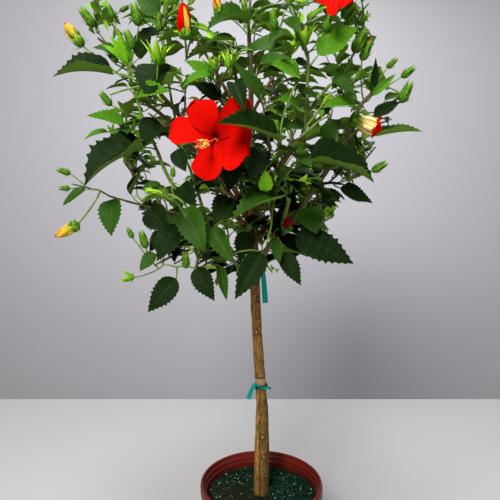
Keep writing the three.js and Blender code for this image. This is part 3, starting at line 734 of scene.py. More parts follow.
# limbs first: the boughs, then the stems that show from the front
for _b in BOUGHS:
    _p = BOUGH_PATH[_b[0]]
    NODE_P.extend(_p)
    NODE_T.extend(unit(np.gradient(_p, axis=0)))
    NODE_R.extend([_b[4] / 1000] * len(_p))
for _z in np.linspace(.50, .64, 18):
    NODE_P.append(stem_centre(_z))
    NODE_T.append(UP)
    NODE_R.append(.007)
for _n, _r0, _r1, _tone, _pts in STEMS:
    _path = spline(np.array(_pts) / 1000, 10 + 7 * len(_pts))
    _k = np.arange(len(_path))
    _wig = np.stack([lattice(np.stack([_k * .22, _k * 0 + len(_n), _k * 0], -1), 3 + q) for q in range(3)], -1) * .0011
    _path = _path + _wig * np.minimum(1, _k / 4)[:, None]
    if _n == "left_low":
        # this one is a bough of the CAD: it gets its bark further down
        BOUGH_PATH["bough_left_low"] = _path
        NODE_P.extend(_path)
        NODE_T.extend(unit(np.gradient(_path, axis=0)))
        NODE_R.extend([.0012] * len(_path))
    else:
        limb(_path, _r0 / 1000, _r1 / 1000, _tone, 10)
    keep_clear(_path, 0)

# leaves in view, placed one by one
for _f, _t, _face, _fold, _w, _cls, _arch in PORTRAIT:
    _f, _t = V(*_f) / 1000, V(*_t) / 1000
    _d = unit(_t - _f)
    _L = float(np.linalg.norm(_t - _f))
    _a = math.radians(_face)
    _n = square_to(UP * math.cos(_a) + FRONT * math.sin(_a) + (_f - centre_at(_f[2])) * V(1, 0, 0) * 1.5, _d)
    _cls2 = {"deep": "deep", "mid": "mid", "bright": "bright", "young": "fresh"}[_cls]
    FINE.append(leaf_spec(_cls2, _f, _d, _n, _L, _w, math.radians(_fold), _arch, .030 + .025 * rng.random(), rng.normal(0, .12)))
    keep_clear(leaf_points(_f, _d, _n, _L * .97, _w * math.cos(math.radians(_fold) * .6), 12), 1)
    _q, _T, _r, _dist = nearest(_f, .020)
    _side = square_to(_f - _q, _T)
    stalk(_q, unit(_side + _T * .4), _f, _d, .0011 if _L > .05 else .0008)
    keep_clear(np.linspace(_q, _f, 6), 0)


# ------------------------------------------------------------ buds and blossom
def lobe(kind, foot, d, n, L, w, curl, mat=0, rows=7, out=0.0, uvx=(0, 1)):
    """a narrow pointed bract or calyx lobe: a thin closed blade, curling outward by curl"""
    d, n = unit(d), square_to(n, d)
    b = np.cross(d, n)
    t = np.linspace(0, 1, rows)
    th = curl * t
    seg = np.diff(t)
    m = (th[1:] + th[:-1]) / 2
    py, pz = np.concatenate([[0], np.cumsum(np.cos(m) * seg)]), np.concatenate([[0], np.cumsum(np.sin(m) * seg)])
    P = foot + L * (py[:, None] * d + pz[:, None] * n)
    T = np.cos(th)[:, None] * d + np.sin(th)[:, None] * n
    N = -np.sin(th)[:, None] * d + np.cos(th)[:, None] * n
    wt = w * .5 * np.interp(t, [0, .12, .35, .7, .92, 1], [.55, .85, 1, .62, .2, .03])
    thick = .0003 + .0012 * w / .01 * (1 - t) * .5
    left, right = P + b * wt[:, None] + N * wt[:, None] * .25, P - b * wt[:, None] + N * wt[:, None] * .25
    top, low = P + N * thick[:, None] * .5, P - N * thick[:, None] * .8
    v = np.stack([left, top, right, low], 1).reshape(-1, 3)
    i, j = np.meshgrid(np.arange(rows - 1), np.arange(4), indexing="ij")
    j2 = (j + 1) % 4
    q = np.stack([i * 4 + j, (i + 1) * 4 + j, (i + 1) * 4 + j2, i * 4 + j2], -1).reshape(-1, 4)
    q = np.vstack([q, [[0, 1, 2, 3]], [[rows * 4 - 1, rows * 4 - 2, rows * 4 - 3, rows * 4 - 4]]])
    u = uvx[0] + (uvx[1] - uvx[0]) * V(.1, .5, .9, .5)
    uv = np.stack(np.broadcast_arrays(u[None, :], t[:, None]), -1).reshape(-1, 2)
    kind.add(v, q, None, uv, mat)


def turned(kind, foot, d, L, profile, sides=14, rings=16, mat=0, ridges=0, ridge=0., twist=0., bend=0., cell=(0, 1), pinch=None, spin=0.):
    """a body turned about its own axis, with optional ridges that wind round it"""
    d = unit(d)
    x = square_to(V(.3, .2, 1) if abs(d[2]) < .9 else V(1, 0, 0), d)
    y = np.cross(d, x)
    pr = np.array(profile, float)
    t = np.linspace(0, 1, rings)
    r = np.interp(t, pr[:, 0], pr[:, 1])
    a = np.arange(sides) / sides * 2 * math.pi + spin
    A = a[None, :] + 0 * t[:, None]
    w = 1.0
    if ridges:
        w = 1 + ridge * np.cos(ridges * (A + twist * t[:, None])) * smooth(0, .15, t)[:, None]
        if pinch is not None:
            w = w * (1 + pinch * np.cos(2 * (A - .4)))
    R = r[:, None] * w
    c = foot + d * (t * L)[:, None] + x * (bend * L * t * t)[:, None]
    v = c[:, None] + R[..., None] * (np.cos(A)[..., None] * x + np.sin(A)[..., None] * y)
    v = np.vstack([v.reshape(-1, 3), c[:1] - d * r[0] * .2, c[-1:] + d * r[-1] * .8])
    i, j = np.meshgrid(np.arange(rings - 1), np.arange(sides), indexing="ij")
    j2 = (j + 1) % sides
    q = np.stack([i * sides + j, i * sides + j2, (i + 1) * sides + j2, (i + 1) * sides + j], -1).reshape(-1, 4)
    k = np.arange(sides)
    tr = np.vstack([np.stack([(k + 1) % sides, k, np.full(sides, rings * sides)], 1),
                    np.stack([(rings - 1) * sides + k, (rings - 1) * sides + (k + 1) % sides, np.full(sides, rings * sides + 1)], 1)])
    uu = cell[0] + (cell[1] - cell[0]) * (.04 + .92 * np.abs(a / math.pi % 2 - 1))
    uv = np.stack(np.broadcast_arrays(uu[None, :], t[:, None]), -1).reshape(-1, 2)
    uv = np.vstack([uv, [[sum(cell) / 2, 0]], [[sum(cell) / 2, 1]]])
    if callable(mat):
        mq = mat((i.ravel() + .5) / (rings - 1), j.ravel() / sides)
        mt = np.concatenate([mat(np.zeros(sides), k / sides), mat(np.ones(sides), k / sides)])
        return v, q, tr, uv, mq, mt
    kind.add(v, q, tr, uv, mat)


def ring_about(d, k, spin=0.):
    d = unit(d)
    x = square_to(V(.2, .1, 1) if abs(d[2]) < .9 else V(1, 0, 0), d)
    y = np.cross(d, x)
    a = np.arange(k) / k * 2 * math.pi + spin
    return np.cos(a)[:, None] * x + np.sin(a)[:, None] * y


def green_bud(foot, tip, size=1.0, lobes=True, tipped=None):
    d = unit(tip - foot)
    L = float(np.linalg.norm(tip - foot))
    R = L * .235
    turned(buds, foot, d, L * .93, [(0, .25 * R), (.08, .72 * R), (.25, 1.0 * R), (.5, .92 * R), (.72, .62 * R), (.9, .26 * R), (1, .06 * R)],
           15, 13, 0, 5, .07, .35, bend=.05 * (rng.random() - .5))
    spin = rng.random() * 6.28
    for r in ring_about(d, 5, spin):
        lobe(buds, foot + d * L * .34 + r * R * .86, d * .93 - r * .20, r, L * .72, R * 1.05, .22 + .18 * rng.random(), 0)
    if lobes:
        for r in ring_about(d, 7, spin + .3):
            r = unit(r + rng.normal(0, .12, 3))
            lobe(buds, foot + d * L * .05 + r * R * .30, r * .82 + d * .58, d - r * .4, L * (.42 + .22 * rng.random()), R * .30, .9 + .6 * rng.random() - .4, 1)


def spiky(foot, tip, k=7):
    """an opening cluster of narrow young leaves and bracts"""
    d = unit(tip - foot)
    L = float(np.linalg.norm(tip - foot))
    turned(buds, foot, d, L * .55, [(0, .10 * L), (.4, .17 * L), (.8, .10 * L), (1, .02 * L)], 10, 7, 2)
    for m, r in enumerate(ring_about(d, k, rng.random() * 6)):
        e = unit(d * (1.0 + .3 * rng.random()) + r * (.38 + .32 * rng.random()))
        lobe(buds, foot + r * .06 * L, e, r, L * (.78 + .35 * rng.random()), L * .33, .20 + .30 * rng.random(), 2, 9)
    for r in ring_about(d, 5, rng.random() * 6):
        lobe(buds, foot + r * .05 * L, unit(r + d * .25), d, L * .45, L * .07, .5, 1)


PET = {"red": 0, "throat": 1, "yellow": 2, "cream": 3}


def pcell(m):
    return (m * .25 + .004, m * .25 + .246)


def furled(foot, tip, style):
    """a coloured bud: petals wound round each other above a green calyx"""
    sheathed = style == "sheathed"
    style = "yellow" if sheathed else style
    d = unit(tip - foot)
    L = float(np.linalg.norm(tip - foot))
    R = L * {"yellow": .20, "orange": .20, "red": .185, "wilted": .25, "red_small": .28}[style]
    if style == "wilted":
        prof = [(0, .30 * R), (.12, .55 * R), (.35, .80 * R), (.6, 1.0 * R), (.8, 1.05 * R), (.93, .8 * R), (1, .35 * R)]
    else:
        prof = [(0, .35 * R), (.10, .72 * R), (.3, .98 * R), (.5, 1.0 * R), (.72, .86 * R), (.88, .58 * R), (.97, .3 * R), (1, .12 * R)]
    ph = rng.random()

    def colour(t, a):
        swirl = (a * 5 + t * 1.1 + ph) % 1.0
        if style == "yellow":
            return np.where((t > .93) | ((swirl < .10) & (t > .62)), 0, 2)
        if style == "orange":
            return np.where((t > .74) | (swirl < .30), 0, 2)
        if style in ("red", "red_small"):
            return np.where((a > .77) & (a < .89) & (t > .12) & (t < .86) & (style == "red"), 2, 0)
        return np.where(t > .80 + .07 * np.sin(a * 31), 0, np.where(t < .34 + .10 * np.sin(a * 19 + 1), 2, np.where((a * 9 + ph) % 1 < .26, 2, 3)))

    v, q, tr, uv, mq, mt = turned(petals, foot, d, L * .98, prof, 40, 30, colour, 5, .13 if style != "wilted" else .17, 1.4 if style != "wilted" else .25,
                                  bend=.06 * (rng.random() - .5), pinch=.06)
    uv[:, 0] = .02 + .21 * (uv[:, 0] - uv[:, 0].min()) / max(1e-6, np.ptp(uv[:, 0]))
    # each colour keeps to its own quarter of the chart, so a corner shared by two colours is doubled
    for m in range(4):
        fq, ft = q[mq == m], tr[mt == m]
        if len(fq) + len(ft) == 0:
            continue
        used = np.unique(np.concatenate([fq.ravel(), ft.ravel()]))
        back = np.full(len(v), -1)
        back[used] = np.arange(len(used))
        petals.add(v[used], back[fq] if len(fq) else None, back[ft] if len(ft) else None, uv[used] + V(.25 * m, 0), m)
    spin = rng.random() * 6
    C = {"wilted": .16, "red": .17, "red_small": .3}.get(style, .42 if sheathed else .22)
    turned(buds, foot - d * L * .04, d, L * C, [(0, .4 * R), (.25, .85 * R), (.6, 1.06 * R), (1, 1.0 * R)], 20, 8, 0, 5, .05)
    for r in ring_about(d, 5, spin):
        lobe(buds, foot + d * L * (C - .10) + r * R * .98, d - r * .06, r, L * (.36 if sheathed else .18 if style == "red" else .22), R * .95, .10 + .2 * rng.random(), 0)
    for r in ring_about(d, 7, spin + .4):
        lobe(buds, foot - d * L * .02 + r * R * .4, r * .9 + d * (.45 * rng.random()), d, L * .30, R * .20, .5 * rng.random(), 1)
    if style == "wilted":
        for m, r in enumerate(ring_about(d, 5, spin + .2)):
            lobe_red(foot + d * L * .80 + r * R * .72, d * .55 + r * .75, r, L * .28, R * .8, .9)


def lobe_red(foot, d, n, L, w, curl):
    before = len(petals.v)
    lobe(petals, foot, d, n, L, w, curl, 0, 8, 0, (.02, .23))


PETAL_W = np.array([[0, .16], [.10, .24], [.22, .40], [.36, .62], [.5, .82], [.62, .94], [.73, 1.0], [.83, .98], [.91, .86], [.96, .66], [.99, .38], [1, .12]])


def petal(foot, axis, out, L, w, tube_len, spread, recurve, roll, ruffle, seed, cup=.1, rows=34, half=11):
    """one petal: it leaves the throat along the axis, opens to out and curls back at its end"""
    axis = unit(axis)
    out = square_to(out, axis)
    t = np.linspace(0, 1, rows)
    s = np.linspace(-1, 1, 2 * half + 1)
    th = spread * smooth(0, .42, t) + recurve * smooth(.45, 1, t)
    seg = np.diff(t)
    m = (th[1:] + th[:-1]) / 2
    pa = np.concatenate([[0], np.cumsum(np.cos(m) * seg)]) * L
    po = np.concatenate([[0], np.cumsum(np.sin(m) * seg)]) * L
    P = foot + pa[:, None] * axis + po[:, None] * out
    T = np.cos(th)[:, None] * axis + np.sin(th)[:, None] * out
    side = np.cross(axis, out)
    N = np.cross(T, side)          # the face seen from in front
    N = N * np.sign((N @ axis).mean())
    rl = (roll * smooth(.05, .6, t))[:, None]
    b = side * np.cos(rl) + N * np.sin(rl)
    n = N * np.cos(rl) - side * np.sin(rl)
    wt = np.interp(t, PETAL_W[:, 0], PETAL_W[:, 1])
    edge = 1 + .11 * lattice(np.stack(np.broadcast_arrays(np.sign(s)[None, :] * 3 + 0 * t[:, None], t[:, None] * 5, seed + 0 * t[:, None]), -1), 5) * np.abs(s)[None, :] ** 3
    x = s[None, :] * wt[:, None] * w * .5 * edge
    grow = smooth(.25, .95, t)[:, None]
    z = cup * w * (s[None, :] ** 2) * (1 - .4 * grow)
    q = np.stack(np.broadcast_arrays(s[None, :] * 2.1 + seed * 7.3, t[:, None] * 3.4, seed * 2.9 + 0 * t[:, None]), -1)
    z = z + ruffle * w * (lattice(q, 11) * (.25 + .75 * np.abs(s)[None, :] ** 1.6) + .35 * lattice(q * 2.3, 12) * np.abs(s)[None, :] ** 2) * grow
    # fine ribs that fan out from the throat
    rib = np.cos(s[None, :] * 34 + 2.0 * lattice(q * 1.7, 13))
    z = z + .00022 * rib * smooth(.06, .3, t)[:, None] * (1 - np.abs(s)[None, :] ** 4)
    wave = .055 * L * lattice(np.stack([s * 2.6, 0 * s + seed * 5.1, 0 * s], -1), 17)[None, :] * smooth(.55, 1, t)[:, None]
    tipcurl = -.06 * L * smooth(.86, 1, t)[:, None] * (1 - s[None, :] ** 2) * .5
    top = P[:, None] + x[..., None] * b[:, None] + (z + tipcurl)[..., None] * n[:, None] + wave[..., None] * T[:, None]
    th2 = .0005 * (1 - np.abs(s)[None, :] ** 2) * (smooth(0, .04, t) * (1 - smooth(.96, 1, t)))[:, None]
    low = top - n[:, None] * th2[..., None]
    R, C = rows, 2 * half + 1
    qd = grid_quads(R, C)
    # which way round the rows run against the front
    a0, a1, a2 = top[R // 2, half], top[R // 2, half + 1], top[R // 2 + 1, half]
    if np.dot(np.cross(a1 - a0, a2 - a0), n[R // 2]) < 0:
        qd = qd[:, ::-1]
    f = (np.arange(len(qd)) // (C - 1)) / (R - 1)
    red, deep = f >= .13, f < .13
    for face, flip in ((top, False), (low, True)):
        fq = qd[:, [0, 3, 2, 1]] if flip else qd
        for m, sel in ((0, red), (1, deep)):
            base_uv = np.stack(np.broadcast_arrays(.02 + .21 * (s[None, :] + 1) / 2, .01 + .98 * t[:, None]), -1).reshape(-1, 2)
            used = np.unique(fq[sel].ravel())
            back = np.full(R * C, -1)
            back[used] = np.arange(len(used))
            petals.add(face.reshape(-1, 3)[used], back[fq[sel]], None, base_uv[used] + V(.25 * m, 0), m)
    return top


def bloom(centre, axis, spec, column, seed, clear=True):
    """a single five-petalled flower. spec: direction, length, width, spread, recurve, roll, ruffle per petal"""
    axis = unit(axis)
    for k, (d, L, w, spread, rec, roll, ruff) in enumerate(spec):
        d = square_to(V(*d), axis)
        top = petal(centre - axis * .012 + d * .003, axis, d, L, w, .012, spread, rec, roll, ruff, seed + k * 1.7)
        if clear:
            keep_clear(top.reshape(-1, 3), 1)
    # calyx behind, and its narrow bracts
    turned(buds, centre - axis * .031, axis, .017, [(0, .0026), (.3, .0056), (.7, .0066), (1, .0050)], 20, 8, 0, 5, .05)
    for r in ring_about(axis, 5, seed):
        lobe(buds, centre - axis * .017 + r * .0060, axis * .7 + r * .7, axis - r, .013, .009, -.3, 0)
    for r in ring_about(axis, 7, seed + .5):
        lobe(buds, centre - axis * .028 + r * .0028, r + axis * .3, axis, .012, .0018, .4, 1)
    # the column of stamens
    column = unit(column)
    Lc = .047
    bend = square_to(UP, column) * .003
    P = bezier(centre - axis * .010, centre + column * Lc * .5 - bend, centre + column * Lc + bend, 14)
    tube(stamens, P, np.linspace(.0017, .0009, 14), 10, 0)
    r2 = np.random.default_rng(int(seed * 100))
    T = unit(P[-1] - P[-4])
    for k in range(52):
        u = .62 + .34 * r2.random()
        a = along(P, u)[0]
        r = ring_about(T, 1, r2.random() * 6.283)[0]
        e = unit(r + T * (.25 + .5 * r2.random()))
        h = .0032 + .0026 * r2.random()
        tip = a + e * h + T * .0006
        tube(stamens, np.array([a, a + e * h * .55, tip]), [.00022, .0002, .00018], 4, 1)
        g = unit(r2.normal(0, 1, 3))
        turned(stamens, tip - g * .0008, g, .0019, [(0, .0004), (.3, .00085), (.7, .00085), (1, .0004)], 7, 5, 2)
    for r in ring_about(T, 5, seed):
        e = unit(r * .8 + T)
        tube(stamens, np.array([P[-1], P[-1] + e * .003, P[-1] + e * .0056]), [.0003, .00028, .00026], 5, 0)
        g = P[-1] + e * .0056
        turned(stamens, g - e * .0008, e, .002, [(0, .0005), (.4, .0011), (.8, .0009), (1, .0004)], 8, 6, 3)
    if clear:
        keep_clear(P, 2)


def twig_to(foot, join, r0=.0011, r1=.0008, d1=None):
    q, T, r, dist = nearest(join, 0.0, False)
    if dist > .035:
        q2 = join
    else:
        q2 = q
    L = np.linalg.norm(foot - q2)
    d1 = unit(foot - q2) if d1 is None else d1
    p = bezier(q2, (q2 + UP * L * .10 + foot - d1 * L * .45) / 2 + (q2 + foot) * 0, foot + d1 * .001, 10)
    tube(shoots["g"], p, np.linspace(r0, r1, 10), 6)
    # the stalk's middle points are added to the limb points that later stalks and twigs may start from
    NODE_P.extend(p[2:-2])
    NODE_T.extend(unit(np.gradient(p, axis=0))[2:-2])
    NODE_R.extend([r0] * (len(p) - 4))
    keep_clear(p, 0)
    return p

# ----------------------------------------------------------- what's in view
for _kind, _f, _t, _j in BUDS:
    _f, _t, _j = V(*_f) / 1000, V(*_t) / 1000, V(*_j) / 1000
    _d = unit(_t - _f)
    twig_to(_f, _j, .0012, .0010, unit(_d * .7 + UP * .3))
    if _kind == "green":
        green_bud(_f, _t)
    elif _kind == "small":
        green_bud(_f, _t, lobes=rng.random() < .5)
    elif _kind == "tipped":
        green_bud(_f, _t)
        _e = _f + _d * np.linalg.norm(_t - _f) * .62
        furled(_e, _t + _d * .003, "orange")
    else:
        spiky(_f, _t, 8 if _kind == "spiky" else 6)
    keep_clear(np.linspace(_f, _t, 8), 2)
for _kind, _f, _t, _j in FLOWER_BUDS:
    _f, _t, _j = V(*_f) / 1000, V(*_t) / 1000, V(*_j) / 1000
    twig_to(_f, _j, .0015, .0013, unit(_t - _f))
    furled(_f, _t, _kind)
    keep_clear(np.linspace(_f, _t, 12), 3)

MAIN, SECOND = V(-61, -190, 709) / 1000, V(86, -122, 903) / 1000
#      direction            length width spread recurve roll  ruffle
MAIN_PETALS = [
    ((-.45, 0, .89), .0545, .0360, 1.22, .26, .05, .080),
    ((.81, 0, .58), .0670, .0400, 1.30, .16, .30, .060),
    ((-.99, 0, .12), .0620, .0430, 1.34, .22, .62, .050),
    ((-.17, 0, -.98), .0620, .0360, 1.29, .30, -.06, .115),
    ((.87, 0, -.49), .0565, .0540, 1.24, .26, .14, .120),
]
bloom(MAIN, V(-.12, -.98, .05), MAIN_PETALS, V(-.31, -.90, -.36), 1.0)
_q, _T, _r, _dd = nearest(MAIN + V(.02, .05, -.03), .0, False)
tube(shoots["g"], bezier(_q, MAIN + V(.012, .055, -.012), MAIN + V(.004, .029, 0), 10), .0016, 7)
SECOND_PETALS = [
    ((-.11, 0, -.99), .074, .016, 1.30, .26, .30, .060),
    ((.60, 0, -.80), .047, .046, 1.10, .26, .20, .110),
    ((.80, 0, .60), .054, .044, 1.20, .30, -.2, .070),
    ((-.30, 0, .95), .054, .044, 1.20, .30, .2, .070),
    ((-.85, 0, -.52), .044, .042, 1.12, .24, -.25, .090),
]
bloom(SECOND, V(.05, -.86, .50), SECOND_PETALS, V(.02, -.84, .54), 2.0)
_q, _T, _r, _dd = nearest(SECOND + V(-.02, .04, -.05), .0, False)
tube(shoots["g"], bezier(_q, SECOND + V(0, .045, -.040), SECOND - unit(V(.05, -.86, .50)) * .028, 10), .0016, 7)

# ------------------------------------------------- the rest of the crown grows
def grade(age, p, spray):
    """a leaf's colour class from its age on the shoot and its place in the crown: upper and outer leaves get paler
    classes and inner, lower ones darker, which is painted light and shade
    """
    up = smooth(.52, .96, p[2])
    c = centre_at(p[2])
    outer = smooth(.06, .26, np.linalg.norm((p - c)[:2]))
    # height (up) and distance out (outer) stand for how lit a leaf is, as painted light and shade; age gives the leaf's
    # own tone
    light = .50 * up + .24 * outer + .32 * (1 - age) + spray + rng.normal(0, .08)
    if age < .10:
        return "young"
    for cut, cls in ((.80, "fresh"), (.66, "bright"), (.50, "mid"), (.33, "deep")):
        if light > cut:
            return cls
    return "dark"


def leaf_on(a, T, r, phi, age, spray, size=1.0, hang=0.0, tries=5, strict=True):
    """a leaf and its stalk on a limb at a, at the angle phi round it"""
    ref = square_to(UP if abs(T[2]) < .92 else V(1, 0, 0), T)
    oth = np.cross(T, ref)
    for k in range(tries):
        f = phi + (0 if k == 0 else rng.normal(0, .9))
        R = math.cos(f) * ref + math.sin(f) * oth
        out = a - centre_at(a[2])
        out[2] = 0
        out = unit(out + 1e-6)
        L = (.021 + .055 * age ** .62) * size * rng.uniform(.82, 1.14)
        start = unit(R * .9 + T * .75 + UP * .15)
        plen = L * (.30 + .22 * rng.random()) * (.55 + .45 * age)
        foot = a + start * plen + out * plen * .12
        flat = unit(V(R[0], R[1], 0) + out * .55 + T * V(.3, .3, 0))
        droop = (.10 + .50 * age + hang) * rng.uniform(.45, 1.45)
        lift = (1 - age) * .9
        d = unit(flat + UP * (lift * .55 - droop) + T * .35 * (1 - age))
        n = square_to(UP * (1.0 - .25 * age) + out * .35 + FRONT * .12 + rng.normal(0, .30, 3), d)
        wide = rng.uniform(.50, .66) - .10 * (age < .2)
        L2 = L
        for cut in (1.0, .78):
            L2 = L * cut
            pts = leaf_points(foot, d, n, L2, wide)
            if room(pts, strict):
                fold = rng.uniform(.12, .62) + .35 * (1 - age)
                SPECS.append(leaf_spec(grade(age, foot, spray), foot, d, n, L2, wide, fold, rng.uniform(.25, .95), rng.uniform(.02, .07), rng.normal(0, .28),
                                       rng.uniform(.7, 1.2)))
                stalk(a + R * r * .6, start, foot, d, .0005 + .009 * L2)
                return True
    return False


def shoot(a, T0, b, r0, r1, tone, spray, size=1.0, hang=0.0, step=.0145, first=.012, end_buds=0, strict=True, leaf=True):
    """a leafy shoot from a to b, setting off along T0 and turning up"""
    L = float(np.linalg.norm(b - a))
    path = bezier(a, a + T0 * L * .42 + UP * L * (.02 if hang else -.03), b, max(6, int(L / .006)))
    k = np.arange(len(path))
    ph = rng.random() * 40
    wig = np.stack([lattice(np.stack([k * .27 + ph, k * 0 + q * 9.1, k * 0], -1), 21 + q) for q in range(3)], -1) * .0022
    path = path + wig * np.minimum(1, k / 5)[:, None]
    ok = room(path[2:], strict, .004) if len(path) > 4 else True
    if not ok:
        # bend away from what has to stay open
        for _ in range(4):
            path2 = path + (np.minimum(1, k / len(path)) ** 1.3)[:, None] * V(rng.normal(0, .018), abs(rng.normal(0, .022)), rng.normal(0, .014))
            if room(path2[2:], strict, .004):
                path, ok = path2, True
                break
    if not ok:
        return None
    limb(path, r0, r1, tone, 7)
    T = unit(np.gradient(path, axis=0))
    s, phi = first, rng.random() * 6.28
    total = np.linalg.norm(np.diff(path, axis=0), axis=1).sum()
    cum = np.concatenate([[0], np.cumsum(np.linalg.norm(np.diff(path, axis=0), axis=1))])
    if leaf:
        while s < total:
            age = np.clip((total - s) / .085, 0, 1) ** .8
            p = V(*[np.interp(s, cum, path[:, q]) for q in range(3)])
            t = unit(V(*[np.interp(s, cum, T[:, q]) for q in range(3)]))
            leaf_on(p, t, r1, phi, age, spray, size, hang, strict=strict)
            phi += 2.3999 + rng.normal(0, .2)
            s += step * (.55 + .6 * age) * rng.uniform(.8, 1.25)
    return path, T


def tip_of(path, T, spray, buds_wanted, size=1.0):
    """the shoot's end: a tuft of young leaves, and buds on their own stalks from the last joints"""
    e, t = path[-1], T[-1]
    for m, R in enumerate(ring_about(t, 3 + int(rng.random() * 2), rng.random() * 6)):
        L = rng.uniform(.014, .027) * size
        d = unit(t * 1.0 + R * rng.uniform(.35, .8) + UP * .2)
        if room(leaf_points(e, d, square_to(R * -1, d), L, .4), True):
            SPECS.append(leaf_spec("young" if m < 2 else "fresh", e + R * .0012, d, square_to(UP * .4 - R, d), L, .42, .75, .3, .02, 0, .6))
    for m in range(buds_wanted):
        R = ring_about(t, 1, rng.random() * 6.28)[0]
        k = -2 - int(rng.random() * 4)
        a = path[max(k, -len(path))]
        h = rng.uniform(.020, .044)
        d = unit(t * .5 + R * .8 + UP * .75)
        foot = a + d * h
        bl = rng.uniform(.013, .027)
        d2 = unit(d + UP * .35 + R * .2)
        tip = foot + d2 * bl
        if room(np.linspace(a, tip, 8), True, .004):
            p = bezier(a, a + unit(R + t) * h * .5, foot, 8)
            tube(shoots["g"], p, np.linspace(.0010, .0009, 8), 6)
            if bl > .024 and rng.random() < .22:
                furled(foot, tip + d2 * .010, ["yellow", "orange", "red"][int(rng.random() * 3)])
            elif rng.random() < .16:
                spiky(foot, tip, 6)
            else:
                green_bud(foot, tip, lobes=bl > .017)


def grow_mass(name):
    c, size = MASS[name]
    P, T = np.array(NODE_P), np.array(NODE_T)
    d = np.linalg.norm(P - c, axis=1)
    out = c - centre_at(c[2] - .06)
    outh = unit(V(out[0], out[1], 0) + 1e-9)
    rad = np.array([np.linalg.norm((p - centre_at(p[2]))[:2]) for p in P])
    cost = d + 1.1 * np.maximum(0, P[:, 2] - c[2]) + .8 * np.maximum(0, rad - np.linalg.norm((c - centre_at(c[2]))[:2]))
    k = int(np.argmin(cost))
    a, t0 = P[k], T[k]
    skirt = c[2] < .62
    hang = .38 if skirt else (.12 if c[2] < .72 else 0)
    top = smooth(.72, .9, c[2])
    spray = rng.normal(0, .05)
    n_b = lambda: int(rng.random() < .35 + .45 * top) + int(rng.random() < .45 * top)
    T0 = unit(t0 * .5 + unit(c - a) + UP * .15)
    b = c + outh * size * .45 + UP * size * (.05 if skirt else .45)
    tone = "b" if rng.random() < .35 else "g"
    main = None
    for q in range(4):
        main = shoot(a, T0, b + rng.normal(0, .010 * q, 3), .0026, .0013, tone, spray, hang=hang, first=min(.035, d[k] * .5))
        if main:
            break
    if main:
        tip_of(*main, spray, n_b())
        path, TT = main
    else:
        path, TT = np.linspace(a, c, 8), np.tile(unit(c - a), (8, 1))
    # side shoots reach the parts of the mass the main one leaves empty
    aims = [outh * .75 + UP * .30, np.cross(outh, UP) * .85 + UP * .25, -np.cross(outh, UP) * .85 + UP * .25, UP * .90 - outh * .15, -UP * .55 + outh * .45]
    if top > .5:
        aims.append(UP * .6 + outh * .6)
    for m, g in enumerate(aims):
        aim = c + (g + rng.normal(0, .16, 3)) * size * .92
        kk = int(np.clip(len(path) * (.25 + .6 * rng.random()), 0, len(path) - 1))
        s0 = path[kk]
        if np.linalg.norm(aim - s0) < .028:
            continue
        for q in range(3):
            sh = shoot(s0, unit(TT[kk] * .4 + unit(aim - s0) + UP * (.10 if skirt else .25)), aim + rng.normal(0, .008 * q, 3), .0018, .0010, "g",
                       spray + rng.normal(0, .03), rng.uniform(.8, 1.0), hang)
            if sh:
                tip_of(*sh, spray, n_b() if m != 4 else 0, .9)
                break


for _n, _az, _reach, _z, _size in MASSES:
    grow_mass(_n)
LEAVES_MASS = len(SPECS)

# short spurs with old leaves, close to the trunk and along the boughs; their spray of -.20 and -.22 gives them darker
# classes, partly the old leaves' own tone and partly painted shade inside the crown
for _b in BOUGHS:
    _p = BOUGH_PATH[_b[0]]
    for _s in np.arange(.16, .86, .17):
        _a = along(_p, _s)[0]
        _T = unit(along(_p, min(1, _s + .05))[0] - _a)
        _R = ring_about(_T, 1, rng.random() * 6.28)[0]
        _e = _a + unit(_R + UP * .25 + _T * .5) * rng.uniform(.030, .060)
        shoot(_a, _R, _e, .0016, .0010, "b", -.20, rng.uniform(.75, 1.0), .25, .011, .008)
for _z in np.linspace(.515, .640, 11):
    _a = stem_centre(_z)
    _f = rng.random() * 6.28
    _R = V(math.cos(_f), math.sin(_f), 0)
    shoot(_a, _R, _a + unit(_R + UP * .35) * rng.uniform(.045, .085), .0018, .0010, "b", -.22, rng.uniform(.8, 1.0), .35, .012, .02)

# a blossom round the back, so that every side is finished
def back_bloom(c, axis, seed):
    axis = unit(axis)
    spec = []
    for k, r in enumerate(ring_about(axis, 5, seed)):
        spec.append((tuple(r), .054, .046, 1.18, .28, (.18 if k % 2 else -.12), .055))
    bloom(c, axis, spec, unit(axis + V(0, 0, -.08)), seed, False)
    q, T, r, dd = nearest(c - axis * .06 - UP * .03, .0, False)
    tube(shoots["g"], bezier(q, c - axis * .055 - UP * .01, c - axis * .028, 10), .0016, 7)


for _c, _ax, _seed in ((V(-.095, .232, .772), V(-.25, .93, .28), 3.0),):
    # leaves that would stand in the flower are taken out
    _keep = []
    for _s in SPECS:
        _m = _s["foot"] + unit(_s["dir"]) * _s["length"] * .5
        _h = (_m - _c) @ unit(_ax)
        _lat = np.linalg.norm((_m - _c) - _h * unit(_ax))
        if not (_lat < .052 and -.012 < _h < .10):
            _keep.append(_s)
    SPECS[:] = _keep
    back_bloom(_c, _ax, _seed)

print("leaves", len(SPECS), "from masses", LEAVES_MASS, "portrait", len(FINE))
blades(SPECS, leaves, 18, 2, False)
blades(FINE, leaves, 30, 3, True)

